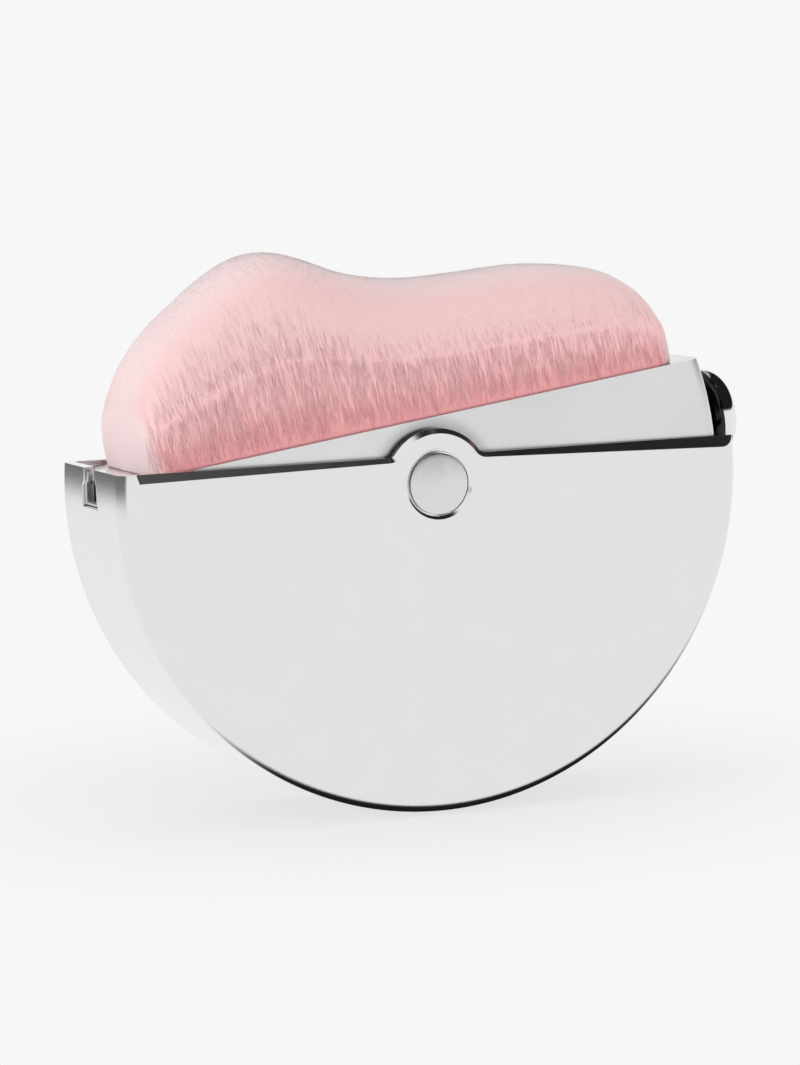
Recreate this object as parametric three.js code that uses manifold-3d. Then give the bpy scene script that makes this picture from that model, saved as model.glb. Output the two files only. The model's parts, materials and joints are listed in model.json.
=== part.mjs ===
// Blending brush: a half-disc metal case and a brush head that swings out of it on a cross pin.
// Millimetres. The shapes are drawn about the pin: its axis is Y and runs through zero, +X is to
// the right, -Y is the front and +Z is up. The finished part is then moved so that its own zero
// point is the middle of the case's flat back.
import * as THREE from 'three';
import { mergeVertices } from 'three/addons/utils/BufferGeometryUtils.js';
import Module from 'manifold-3d';

const wasm = await Module();
wasm.setup();

// Clearances
const RUNNING_GAP = 0.3; // between the head and the case
const END_GAP = 0.4; // between the head's round ends and the inside of the rim
const FIT = 0.15; // round a piece in its hole
const SEAT = 0.1; // under a seated face
const OVERRUN = 1; // how far a cutting body passes the face that it cuts

// Case
const CASE_RADIUS = 35;
const CASE_DEPTH = 21.2;
const CASE_WALL = 1.2;
const CASE_EDGE_ROUND = 2;
const CASE_TOP = 3; // height of the top edge above the pin
const EAR_RADIUS = 5.8;
const EAR_FOOT_ROUND = 1;
const BEVEL_AT_EAR = 0.4; // the top edge's bevel grows from the ears to the ends
const BEVEL_AT_END = 1.2;
const BACK_POINT_DROP = 14; // how far the middle of the flat back lies under the pin

// Slot in the left rim and its spring clip
const SLOT_SHOULDER = 1.6; // height of the throat's lower end above the pin
const SLOT_SHOULDER_DROP = 0.5;
const SLOT_POCKET_STEP = 0.45; // how much wider the slot's pocket is than its throat, on each side
const CLIP_PLAY = 0.3; // between the stud and each side of the clip's throat
const CLIP_POCKET_STEP = 0.3;
const CLIP_WALL = 0.6; // each side of the clip beside its throat
const CLIP_WEB = 0.3;
const CLIP_RECESS = 0.2; // how far the clip lies under each face of the rim

// Cross pin: a post with a button head, and a screw that closes it at the back
const PIN_RADIUS = 1.75;
const BUTTON_RADIUS = 3.24;
const BUTTON_THICKNESS = 0.62;
const BUTTON_CROWN = 0.15;
const BUTTON_EDGE_ROUND = 0.12;
const BUTTON_SEAT_DEPTH = 0.75;
const COUNTERSINK_WIDTH = 0.51; // from the button's edge to the countersink's
const COUNTERSINK_DEPTH = 0.35;
const PIN_SCREW_RADIUS = 1.05;
const PIN_SCREW_LENGTH = 7.5;
const PIN_THREAD_ROOM = 1; // how far the post's bore goes past the screw's seat depth
const DRIVER_SLOT_WIDTH = 0.8;
const DRIVER_SLOT_DEPTH = 0.3;

// Head
const HEAD_HALF_HEIGHT = 6.84;
const HEAD_EDGE_ROUND = 0.4;
const HEAD_SIDE_WALL = 0.8;
const HEAD_END_WALL = 4.3;
const HEAD_FLOOR = 1.14;
const POCKET_CORNER_ROUND = 3;
const COVER_THICKNESS = 0.6;
const COVER_END_LAND = 2.69; // from the recess for the cover to the ends of the head's underside
const COVER_SIDE_LAND = 1.3;
const COVER_CORNER_ROUND = 2;

// Bushes and washers on the pin
const BUSH_WALL = 0.65;
const BUSH_LENGTH = 3.8;
const BUSH_FLANGE_RADIUS = 3.6;
const BUSH_FLANGE_THICKNESS = 0.4;
const WASHER_RADIUS = 3.3;
const THRUST_WASHER_THICKNESS = 0.4;
const WAVE_WASHER_THICKNESS = 0.2;
const WAVE_HEIGHT = 0.1;

// Resin bed and block screws inside the head
const BED_THICKNESS = 0.95;
const BLOCK_SCREW_OFFSET = 15;
const BLOCK_SCREW_RADIUS = 0.9;
const BLOCK_SCREW_HEAD_RADIUS = 1.6;
const BLOCK_SCREW_HEAD_THICKNESS = 0.5;
const BLOCK_SCREW_LENGTH = 4;

// Thumb knob on its stud
const KNOB_RADIUS = 4.85;
const KNOB_RIM = 0.55;
const KNOB_DOME = 3.25;
const KNOB_DOME_POWER = 0.8; // 1 is an elliptic dome, and less is a fuller one
const KNOB_GAP = 0.35; // between the knob and the outside of the rim
const KNOB_BORE_DEPTH = 2.6;
const STUD_RADIUS = 1;
const STUD_DROP = 0.6; // how far the stud lies under the pin's level in the head
const STUD_LENGTH_IN_BLOCK = 5;

// Bristles
const TUFT_END_SPREAD = 1.9; // how far the tuft widens past the pocket at each end
const TUFT_SIDE_SPREAD = 0.6;
const TUFT_TOP_ROOM = 7.06; // from the tuft's peak down to the level of the case's inside, shut
const BACKING_DEPTH = 0.49; // how far the backing's top lies under the mouth
const BACKING_THICKNESS = 0.8;
const SPREAD_HEIGHT = 6; // the tuft widens up to this height above the mouth
const COLUMNS = 36;
const ROWS = 12;
const SLICES = ['bristles_left_end', 'bristles_left', 'bristles_right', 'bristles_right_end'];
// The tuft's top line along the head: shares of its half length and of its rise
const CROWN_SHARES = [
  [-1, 0.17], [-0.965, 0.32], [-0.87, 0.6], [-0.66, 0.86], [-0.52, 0.97], [-0.41, 1],
  [-0.3, 0.96], [-0.1, 0.8], [0.1, 0.715], [0.3, 0.683], [0.56, 0.655], [0.78, 0.575],
  [0.89, 0.48], [0.95, 0.34], [1, 0.17],
];
const PILLOW_POWER = 2.6; // how squarely the tuft is rounded from front to back
const FRONT_ROW_SHARE = 0.95; // how far out on that curve the front row ends
const STRAND_SHOULDER_SHARE = 0.88;
const STRAND_FILL_SHARE = 0.95; // of the room that a strand has at its root

// Steps of the round shapes
const DISC_STEPS = 72;
const SMALL_STEPS = 24;
const ARC_STEPS = 4;

// Sizes that follow from the ones above
const HALF_DEPTH = CASE_DEPTH / 2;
const INNER_RADIUS = CASE_RADIUS - CASE_WALL;
const INNER_HALF_DEPTH = HALF_DEPTH - CASE_WALL;
const HEAD_RADIUS = INNER_RADIUS - END_GAP;
const HEAD_HALF_DEPTH = INNER_HALF_DEPTH - RUNNING_GAP;
const POCKET_HALF_LENGTH = HEAD_RADIUS - HEAD_END_WALL;
const POCKET_HALF_WIDTH = HEAD_HALF_DEPTH - HEAD_SIDE_WALL;
const COVER_FLOOR = -HEAD_HALF_HEIGHT + COVER_THICKNESS + SEAT;
const POCKET_FLOOR = COVER_FLOOR + HEAD_FLOOR;
const BLOCK_HALF_LENGTH = POCKET_HALF_LENGTH - FIT;
const BLOCK_HALF_WIDTH = POCKET_HALF_WIDTH - FIT;
const BLOCK_BOTTOM = POCKET_FLOOR + SEAT;
const BACKING_TOP = HEAD_HALF_HEIGHT - BACKING_DEPTH;
const BACKING_BOTTOM = BACKING_TOP - BACKING_THICKNESS;
const BED_TOP = BACKING_BOTTOM - SEAT;
const BED_BOTTOM = BED_TOP - BED_THICKNESS;
const BLOCK_TOP = BED_BOTTOM - SEAT;
const COVER_HALF_LENGTH = Math.sqrt(HEAD_RADIUS ** 2 - HEAD_HALF_HEIGHT ** 2) - COVER_END_LAND;
const COVER_HALF_WIDTH = HEAD_HALF_DEPTH - COVER_SIDE_LAND;
const BACKING_CORNER = POCKET_CORNER_ROUND - FIT;
const COLUMN_STEP = 2 * BLOCK_HALF_LENGTH / COLUMNS;
const ROW_STEP = 2 * BLOCK_HALF_WIDTH / (ROWS + 1);
const ROOT_HALF_LENGTH = COLUMN_STEP * (COLUMNS - 1) / 2;
const ROOT_HALF_WIDTH = ROW_STEP * (ROWS - 0.5) / 2; // every other column is set half a step on
const STRAND_RADIUS = STRAND_FILL_SHARE * Math.min((COLUMN_STEP - SEAT) / 2, ROW_STEP / Math.sqrt(3));
const COLUMNS_PER_SLICE = COLUMNS / SLICES.length;
const TUFT_HALF_LENGTH = POCKET_HALF_LENGTH + TUFT_END_SPREAD;
const TUFT_HALF_WIDTH = POCKET_HALF_WIDTH + TUFT_SIDE_SPREAD;
const TUFT_RISE = INNER_RADIUS - TUFT_TOP_ROOM - HEAD_HALF_HEIGHT; // of the peak above the mouth
const COUNTERSINK_RADIUS = BUTTON_RADIUS + COUNTERSINK_WIDTH;
const PIN_THREAD_DEPTH = PIN_SCREW_LENGTH + PIN_THREAD_ROOM;
const BUSH_BORE = PIN_RADIUS + FIT;
const BUSH_RADIUS = BUSH_BORE + BUSH_WALL;
const KNOB_BASE = CASE_RADIUS + KNOB_GAP;
const STUD_START = BLOCK_HALF_LENGTH - STUD_LENGTH_IN_BLOCK;
const STUD_END = KNOB_BASE + KNOB_BORE_DEPTH - SEAT;
const CLIP_THROAT = 2 * (STUD_RADIUS + CLIP_PLAY);
const CLIP_POCKET = CLIP_THROAT + 2 * CLIP_POCKET_STEP;
const CLIP_THICKNESS = CASE_WALL - 2 * CLIP_RECESS;
const SLOT_WIDTH = CLIP_THROAT + 2 * (CLIP_WALL + SEAT);
const SLOT_POCKET_WIDTH = SLOT_WIDTH + 2 * SLOT_POCKET_STEP;
// Shut, the head lies level and its stud stands clear of the clip's web
const SLOT_BOTTOM = STUD_DROP - STUD_RADIUS - FIT - CLIP_WEB - SEAT;
// Open, the head leans until its stud stands just clear of the right rim's inner top corner
const REST_HEIGHT = CASE_TOP + RUNNING_GAP;
const HEAD_TILT = Math.asin((STUD_RADIUS + STUD_DROP) / Math.hypot(INNER_RADIUS, REST_HEIGHT))
  + Math.atan2(REST_HEIGHT, INNER_RADIUS);

// Materials
const caseMetal = new THREE.MeshStandardMaterial({ color: 0xdcdddd, metalness: 1, roughness: 0.16 });
const headMetal = new THREE.MeshStandardMaterial({ color: 0xd2d3d3, metalness: 1, roughness: 0.2 });
const buttonMetal = new THREE.MeshStandardMaterial({ color: 0xcfd0d0, metalness: 1, roughness: 0.22 });
const knobMetal = new THREE.MeshStandardMaterial({ color: 0xd8d9d9, metalness: 1, roughness: 0.06 });
const steel = new THREE.MeshStandardMaterial({ color: 0xb4b6b8, metalness: 1, roughness: 0.35 });
const springSteel = new THREE.MeshStandardMaterial({ color: 0xc8c9c9, metalness: 1, roughness: 0.25 });
const nylon = new THREE.MeshStandardMaterial({ color: 0xe9e7e1, metalness: 0, roughness: 0.5 });
const blockPlastic = new THREE.MeshStandardMaterial({ color: 0xd9d6d0, metalness: 0, roughness: 0.6 });
const resin = new THREE.MeshStandardMaterial({ color: 0xdcb9a8, metalness: 0, roughness: 0.3 });
const fibre = new THREE.MeshStandardMaterial({ color: 0xe6b4b4, metalness: 0, roughness: 0.7 });

// Turns a closed geometry into a solid that can be joined and cut
function toSolid(geometry) {
  const bare = geometry.clone();
  bare.deleteAttribute('normal');
  bare.deleteAttribute('uv');
  const merged = mergeVertices(bare);
  return new wasm.Manifold(new wasm.Mesh({
    numProp: 3,
    vertProperties: new Float32Array(merged.attributes.position.array),
    triVerts: new Uint32Array(merged.index.array),
  }));
}

// Turns a solid back into a flat-shaded geometry
function toGeometry(solid) {
  const mesh = solid.getMesh();
  const shared = new THREE.BufferGeometry();
  shared.setAttribute('position', new THREE.BufferAttribute(mesh.vertProperties, 3));
  shared.setIndex(new THREE.BufferAttribute(mesh.triVerts, 1));
  const geometry = shared.toNonIndexed();
  geometry.computeVertexNormals();
  return geometry;
}

function addPiece(group, name, geometry, material) {
  const mesh = new THREE.Mesh(geometry, material);
  mesh.name = name;
  group.add(mesh);
}

const radians = (degrees) => THREE.MathUtils.degToRad(degrees);

// Points of an arc, both ends included; angles in degrees
function arc(x, y, radius, from, to, steps = ARC_STEPS) {
  return Array.from({ length: steps + 1 }, (_, i) => {
    const angle = radians(from + (to - from) * i / steps);
    return new THREE.Vector2(x + radius * Math.cos(angle), y + radius * Math.sin(angle));
  });
}

// A body turned about Y from [radius, y] points that go upwards
function turned(points, steps = SMALL_STEPS) {
  const outline = points.map((p) => (p.isVector2 ? p : new THREE.Vector2(p[0], p[1])));
  return new THREE.LatheGeometry(outline, steps);
}

// A flat-sided ring turned about Y
function ring(inner, outer, bottom, top) {
  return turned([[inner, bottom], [outer, bottom], [outer, top], [inner, top], [inner, bottom]]);
}

// A plain round bar turned about Y
function rod(radius, bottom, top) {
  return turned([[0, bottom], [radius, bottom], [radius, top], [0, top]]);
}

// A disc whose rim has rounded edges
function roundedDisc(radius, halfDepth, edgeRound) {
  return turned([
    [0, -halfDepth],
    ...arc(radius - edgeRound, -halfDepth + edgeRound, edgeRound, -90, 0),
    ...arc(radius - edgeRound, halfDepth - edgeRound, edgeRound, 0, 90),
    [0, halfDepth],
  ], DISC_STEPS);
}

// A box between two corners
function block(low, high) {
  const size = high.map((value, axis) => value - low[axis]);
  const middle = high.map((value, axis) => (value + low[axis]) / 2);
  return new THREE.BoxGeometry(...size).translate(...middle);
}

// A level slab with a rounded rectangular plan about the middle, from one height to another
function roundedSlab(halfLength, halfWidth, cornerRound, bottom, top) {
  const x = halfLength - cornerRound;
  const y = halfWidth - cornerRound;
  const outline = [
    ...arc(x, -y, cornerRound, -90, 0), ...arc(x, y, cornerRound, 0, 90),
    ...arc(-x, y, cornerRound, 90, 180), ...arc(-x, -y, cornerRound, 180, 270),
  ];
  return new THREE.ExtrudeGeometry(new THREE.Shape(outline), { depth: top - bottom, bevelEnabled: false })
    .translate(0, 0, bottom);
}

// A geometry from shared points and the indices of its triangles' corners
function indexed(points, index) {
  const geometry = new THREE.BufferGeometry().setFromPoints(points);
  geometry.setIndex(index);
  geometry.computeVertexNormals();
  return geometry;
}

// A closed body through rings of equal point counts, which run clockwise seen from the front
// and follow each other towards the back; its two ends are flat
function lofted(rings) {
  const count = rings[0].length;
  const index = [];
  for (let r = 0; r + 1 < rings.length; r += 1) {
    for (let i = 0; i < count; i += 1) {
      const a = r * count + i;
      const b = r * count + ((i + 1) % count);
      index.push(a, b, b + count, a, b + count, a + count);
    }
  }
  const last = (rings.length - 1) * count;
  for (const [start, front] of [[0, true], [last, false]]) {
    const flat = rings[front ? 0 : rings.length - 1].map((p) => new THREE.Vector2(p.x, p.z));
    for (const [a, b, c] of THREE.ShapeUtils.triangulateShape(flat, [])) {
      index.push(start + (front ? a : c), start + b, start + (front ? c : a));
    }
  }
  return indexed(rings.flat(), index);
}

// The space that the case is kept in: everything under its top line, with the two pivot ears and
// the bevel that runs along the top edges of the front and back walls
function underTopLine() {
  const reach = CASE_RADIUS + OVERRUN;
  const footHeight = CASE_TOP + EAR_FOOT_ROUND;
  const footX = Math.sqrt((EAR_RADIUS + EAR_FOOT_ROUND) ** 2 - footHeight ** 2);
  const footAngle = THREE.MathUtils.radToDeg(Math.atan2(footHeight, footX));
  const growth = (BEVEL_AT_END - BEVEL_AT_EAR) / (CASE_RADIUS - footX);
  const farBevel = BEVEL_AT_EAR + growth * (reach - footX);
  const up = new THREE.Vector2(0, 1);
  const line = [{ at: new THREE.Vector2(-reach, CASE_TOP), out: up, bevel: farBevel }];
  const foot = (x, from, to) => arc(x, footHeight, EAR_FOOT_ROUND, from, to).map((at) => ({
    at, out: new THREE.Vector2(x, footHeight).sub(at).normalize(), bevel: BEVEL_AT_EAR,
  }));
  line.push(...foot(-footX, -90, -footAngle));
  const ear = arc(0, 0, EAR_RADIUS, 180 - footAngle, footAngle, 6 * ARC_STEPS);
  line.push(...ear.slice(1, -1).map((at) => ({ at, out: at.clone().normalize(), bevel: BEVEL_AT_EAR })));
  line.push(...foot(footX, 180 + footAngle, 270));
  line.push({ at: new THREE.Vector2(reach, CASE_TOP), out: up, bevel: farBevel });
  for (const x of [reach, -reach]) {
    line.push({ at: new THREE.Vector2(x, -reach), out: new THREE.Vector2(0, 0), bevel: 0 });
  }
  const inset = (side) => line.map(({ at, out, bevel }) => {
    const p = at.clone().addScaledVector(out, -bevel - OVERRUN);
    return new THREE.Vector3(p.x, side * (HALF_DEPTH + OVERRUN), p.y);
  });
  const full = (side) => line.map(({ at, bevel }) => (
    new THREE.Vector3(at.x, side * (HALF_DEPTH - bevel), at.y)));
  return lofted([inset(-1), full(-1), full(1), inset(1)]);
}

// The outline of the slot in the rim, in Y and Z: a throat over a wider pocket with sloping shoulders
function slotShape(throat, pocket, bottom, top) {
  const t = throat / 2;
  const p = pocket / 2;
  const lower = SLOT_SHOULDER - SLOT_SHOULDER_DROP;
  return [
    [-p, bottom], [p, bottom], [p, lower], [t, SLOT_SHOULDER],
    [t, top], [-t, top], [-t, SLOT_SHOULDER], [-p, lower],
  ].map(([y, z]) => new THREE.Vector2(y, z));
}

// Extrudes an outline drawn in Y and Z along X, outwards from the left inner wall
function leftPrism(outline, from, to) {
  const turn = new THREE.Matrix4().makeBasis(
    new THREE.Vector3(0, 1, 0), new THREE.Vector3(0, 0, 1), new THREE.Vector3(1, 0, 0));
  return new THREE.ExtrudeGeometry(new THREE.Shape(outline), { depth: to - from, bevelEnabled: false })
    .applyMatrix4(turn).translate(from, 0, 0);
}

// The countersunk seat and hole for the button head in the front wall
function buttonSeat() {
  const slope = (COUNTERSINK_RADIUS - BUTTON_RADIUS - FIT) / COUNTERSINK_DEPTH;
  return turned([
    [0, -HALF_DEPTH - OVERRUN],
    [COUNTERSINK_RADIUS + slope * OVERRUN, -HALF_DEPTH - OVERRUN],
    [BUTTON_RADIUS + FIT, -HALF_DEPTH + COUNTERSINK_DEPTH],
    [BUTTON_RADIUS + FIT, -HALF_DEPTH + BUTTON_SEAT_DEPTH],
    [PIN_RADIUS + FIT, -HALF_DEPTH + BUTTON_SEAT_DEPTH],
    [PIN_RADIUS + FIT, -INNER_HALF_DEPTH + OVERRUN],
    [0, -INNER_HALF_DEPTH + OVERRUN],
  ]);
}

function caseShell() {
  const outside = toSolid(roundedDisc(CASE_RADIUS, HALF_DEPTH, CASE_EDGE_ROUND));
  const inside = toSolid(roundedDisc(INNER_RADIUS, INNER_HALF_DEPTH, CASE_EDGE_ROUND - CASE_WALL));
  const slot = slotShape(SLOT_WIDTH, SLOT_POCKET_WIDTH, SLOT_BOTTOM, CASE_TOP + OVERRUN);
  return toGeometry(outside
    .intersect(toSolid(underTopLine()))
    .subtract(inside)
    .subtract(toSolid(leftPrism(slot, -CASE_RADIUS - OVERRUN, -INNER_RADIUS + OVERRUN)))
    .subtract(toSolid(buttonSeat()))
    .subtract(toSolid(buttonSeat().rotateZ(Math.PI))));
}

// A spring clip shaped like the slot, open at the top, that grips the stud when the brush is shut
function slotClip() {
  const foot = SLOT_BOTTOM + SEAT;
  const outer = slotShape(SLOT_WIDTH - 2 * SEAT, SLOT_POCKET_WIDTH - 2 * SEAT, foot, CASE_TOP - SEAT);
  const inner = slotShape(CLIP_THROAT, CLIP_POCKET, foot + CLIP_WEB, CASE_TOP + OVERRUN);
  const from = -CASE_RADIUS + CLIP_RECESS;
  return toGeometry(toSolid(leftPrism(outer, from, from + CLIP_THICKNESS))
    .subtract(toSolid(leftPrism(inner, from - OVERRUN, from + CLIP_THICKNESS + OVERRUN))));
}

// Outline of a button head, from its crown in the middle to its edge, for a face towards -Y
function buttonOutline() {
  const seat = -HALF_DEPTH + BUTTON_SEAT_DEPTH - SEAT;
  const face = seat - BUTTON_THICKNESS;
  return [
    [0, face - BUTTON_CROWN],
    [BUTTON_RADIUS / 2, face - BUTTON_CROWN * 3 / 4],
    ...arc(BUTTON_RADIUS - BUTTON_EDGE_ROUND, face + BUTTON_EDGE_ROUND, BUTTON_EDGE_ROUND, -90, 0, 2),
    [BUTTON_RADIUS, seat],
  ];
}

function pinPost() {
  const seat = -HALF_DEPTH + BUTTON_SEAT_DEPTH - SEAT;
  const end = -seat - 2 * SEAT;
  return turned([
    ...buttonOutline(), [PIN_RADIUS, seat], [PIN_RADIUS, end], [PIN_SCREW_RADIUS + FIT, end],
    [PIN_SCREW_RADIUS + FIT, end - PIN_THREAD_DEPTH], [0, end - PIN_THREAD_DEPTH],
  ]);
}

function pinScrew() {
  const seat = -HALF_DEPTH + BUTTON_SEAT_DEPTH - SEAT;
  const tip = seat + PIN_SCREW_LENGTH;
  const body = turned([...buttonOutline(), [PIN_SCREW_RADIUS, seat], [PIN_SCREW_RADIUS, tip], [0, tip]]);
  const reach = BUTTON_RADIUS + OVERRUN;
  const face = seat - BUTTON_THICKNESS;
  const slot = block([-reach, face - OVERRUN, -DRIVER_SLOT_WIDTH / 2],
    [reach, face + DRIVER_SLOT_DEPTH, DRIVER_SLOT_WIDTH / 2]);
  return toGeometry(toSolid(body).subtract(toSolid(slot))).rotateZ(Math.PI);
}

// A flanged bush for the front of the head
function frontBush() {
  const seat = -BLOCK_HALF_WIDTH - SEAT;
  const face = seat - BUSH_FLANGE_THICKNESS;
  const end = seat + BUSH_LENGTH;
  return turned([
    [BUSH_BORE, face], [BUSH_FLANGE_RADIUS, face], [BUSH_FLANGE_RADIUS, seat], [BUSH_RADIUS, seat],
    [BUSH_RADIUS, end], [BUSH_BORE, end], [BUSH_BORE, face],
  ]);
}

function thrustWasher() {
  const back = -BLOCK_HALF_WIDTH - 2 * SEAT - BUSH_FLANGE_THICKNESS;
  return ring(BUSH_BORE, WASHER_RADIUS, back - THRUST_WASHER_THICKNESS, back);
}

// A washer with three waves, which presses the head forwards and holds it where it is put
function waveWasher() {
  const front = BLOCK_HALF_WIDTH + 2 * SEAT + BUSH_FLANGE_THICKNESS + WAVE_HEIGHT;
  const washer = ring(BUSH_BORE, WASHER_RADIUS, front, front + WAVE_WASHER_THICKNESS);
  const position = washer.attributes.position;
  for (let i = 0; i < position.count; i += 1) {
    const wave = Math.cos(3 * Math.atan2(position.getZ(i), position.getX(i)));
    position.setY(i, position.getY(i) + WAVE_HEIGHT * wave);
  }
  return washer;
}

// A body along the head's length, made from one turned about Y
function alongStud(geometry) {
  return geometry.rotateZ(-Math.PI / 2).translate(0, 0, -STUD_DROP);
}

// Cuts a row of geometries out of a solid
function cutOut(solid, cuts) {
  return toGeometry(cuts.reduce((whole, cut) => whole.subtract(toSolid(cut)), solid));
}

// The round-ended bar that carries the bristles, open at the top and recessed for its cover
function headShell() {
  const reach = HEAD_RADIUS + OVERRUN;
  const bar = toSolid(roundedDisc(HEAD_RADIUS, HEAD_HALF_DEPTH, HEAD_EDGE_ROUND))
    .intersect(toSolid(block([-reach, -reach, -HEAD_HALF_HEIGHT], [reach, reach, HEAD_HALF_HEIGHT])));
  return cutOut(bar, [
    pocketSlab(0, POCKET_FLOOR, HEAD_HALF_HEIGHT + OVERRUN),
    coverSlab(0, -HEAD_HALF_HEIGHT - OVERRUN, COVER_FLOOR),
    rod(BUSH_FLANGE_RADIUS + FIT, -reach, reach),
    alongStud(rod(STUD_RADIUS + FIT, POCKET_HALF_LENGTH - OVERRUN, reach)),
    blockScrewHole(-1),
    blockScrewHole(1),
  ]);
}

// The stepped hole for one block screw, up through the head's floor
function blockScrewHole(side) {
  const step = COVER_FLOOR + BLOCK_SCREW_HEAD_THICKNESS + SEAT;
  return turned([
    [0, COVER_FLOOR - OVERRUN / 2], [BLOCK_SCREW_HEAD_RADIUS + FIT, COVER_FLOOR - OVERRUN / 2],
    [BLOCK_SCREW_HEAD_RADIUS + FIT, step], [BLOCK_SCREW_RADIUS + FIT, step],
    [BLOCK_SCREW_RADIUS + FIT, step + BLOCK_SCREW_LENGTH], [0, step + BLOCK_SCREW_LENGTH],
  ]).rotateX(Math.PI / 2).translate(side * BLOCK_SCREW_OFFSET, 0, 0);
}

// One of the two screws that pull the block down on the head's floor
function blockScrew(side) {
  const top = COVER_FLOOR + BLOCK_SCREW_HEAD_THICKNESS;
  return turned([
    [0, COVER_FLOOR], [BLOCK_SCREW_HEAD_RADIUS, COVER_FLOOR], [BLOCK_SCREW_HEAD_RADIUS, top],
    [BLOCK_SCREW_RADIUS, top], [BLOCK_SCREW_RADIUS, top + BLOCK_SCREW_LENGTH - SEAT],
    [0, top + BLOCK_SCREW_LENGTH - SEAT],
  ]).rotateX(Math.PI / 2).translate(side * BLOCK_SCREW_OFFSET, 0, 0);
}

// A slab in the head's pocket between two heights, with a clearance to the pocket's walls
function pocketSlab(clearance, bottom, top) {
  return roundedSlab(POCKET_HALF_LENGTH - clearance, POCKET_HALF_WIDTH - clearance,
    POCKET_CORNER_ROUND - clearance, bottom, top);
}

// A slab in the recess under the head, with a clearance to the recess's edge
function coverSlab(clearance, bottom, top) {
  return roundedSlab(COVER_HALF_LENGTH - clearance, COVER_HALF_WIDTH - clearance,
    COVER_CORNER_ROUND - clearance, bottom, top);
}

function headCover() {
  return coverSlab(FIT, -HEAD_HALF_HEIGHT, -HEAD_HALF_HEIGHT + COVER_THICKNESS);
}

// The block that fills the head, bored for the bushes, the stud and the two screws
function brushBlock() {
  return cutOut(toSolid(pocketSlab(FIT, BLOCK_BOTTOM, BLOCK_TOP)), [
    rod(BUSH_RADIUS + FIT, -POCKET_HALF_WIDTH, POCKET_HALF_WIDTH),
    alongStud(rod(STUD_RADIUS + FIT, STUD_START - SEAT, POCKET_HALF_LENGTH)),
    blockScrewHole(-1),
    blockScrewHole(1),
  ]);
}

// The hardened resin that holds the roots of the bristles
function fibreBed() {
  return pocketSlab(FIT, BED_BOTTOM, BED_TOP);
}

// A domed knob, turned about the stud, with a blind bore for it
function thumbKnob() {
  const dome = KNOB_BASE + KNOB_RIM;
  const steps = 2 * ARC_STEPS;
  const curve = Array.from({ length: steps }, (_, i) => {
    const angle = radians(90 * i / steps);
    const [out, up] = [Math.cos(angle) ** KNOB_DOME_POWER, Math.sin(angle) ** KNOB_DOME_POWER];
    return [KNOB_RADIUS * out, dome + KNOB_DOME * up];
  });
  return alongStud(turned([
    [0, KNOB_BASE + KNOB_BORE_DEPTH], [STUD_RADIUS + FIT, KNOB_BASE + KNOB_BORE_DEPTH],
    [STUD_RADIUS + FIT, KNOB_BASE], [KNOB_RADIUS - SEAT, KNOB_BASE], [KNOB_RADIUS, KNOB_BASE + SEAT],
    ...curve, [0, dome + KNOB_DOME],
  ]));
}

function knobStud() {
  return alongStud(rod(STUD_RADIUS, STUD_START, STUD_END));
}

// Height of the tuft's top line above the mouth at a place along the head, as a smooth curve
// through the crown's points
function crownHeight(share) {
  const last = CROWN_SHARES.length - 1;
  const i = Math.min(Math.max(CROWN_SHARES.findIndex(([u]) => u > share) - 1, 0), last - 1);
  const k = share >= 1 ? last - 1 : i;
  const slope = (n) => {
    const [a, b] = [CROWN_SHARES[Math.max(n - 1, 0)], CROWN_SHARES[Math.min(n + 1, last)]];
    return (b[1] - a[1]) / (b[0] - a[0]);
  };
  const [[u0, v0], [u1, v1]] = [CROWN_SHARES[k], CROWN_SHARES[k + 1]];
  const t = (share - u0) / (u1 - u0);
  const width = u1 - u0;
  const value = v0 * (1 + 2 * t) * (1 - t) ** 2 + v1 * t * t * (3 - 2 * t)
    + width * (slope(k) * t * (1 - t) ** 2 - slope(k + 1) * t * t * (1 - t));
  return TUFT_RISE * value;
}

// The end of the strand that starts at two shares, along and across the tuft
function strandTip(along, across) {
  const y = across * FRONT_ROW_SHARE;
  const pillow = (1 - Math.abs(y) ** PILLOW_POWER) ** (1 / PILLOW_POWER);
  const edge = STRAND_RADIUS / 2;
  const rise = crownHeight(along) * pillow;
  const spread = Math.min(1, rise / SPREAD_HEIGHT);
  const placed = (share, rootHalf, tipHalf) => share * (rootHalf + (tipHalf - edge - rootHalf) * spread);
  return new THREE.Vector3(placed(along, ROOT_HALF_LENGTH, TUFT_HALF_LENGTH),
    placed(across, ROOT_HALF_WIDTH, TUFT_HALF_WIDTH), HEAD_HALF_HEIGHT + rise);
}

// The outline of one slice of the backing, anticlockwise seen from above; the first and the last
// slice have the pocket's round corners at their outer end
function backingOutline(left, right, roundLeft, roundRight) {
  const y = BLOCK_HALF_WIDTH;
  const corner = (x, side, across, rounded, from) => (rounded
    ? arc(x - side * BACKING_CORNER, across * (y - BACKING_CORNER), BACKING_CORNER, from, from + 90)
    : [new THREE.Vector2(x, across * y)]);
  return [
    ...corner(left, -1, -1, roundLeft, 180), ...corner(right, 1, -1, roundRight, 270),
    ...corner(right, 1, 1, roundRight, 0), ...corner(left, -1, 1, roundLeft, 90),
  ];
}

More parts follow.
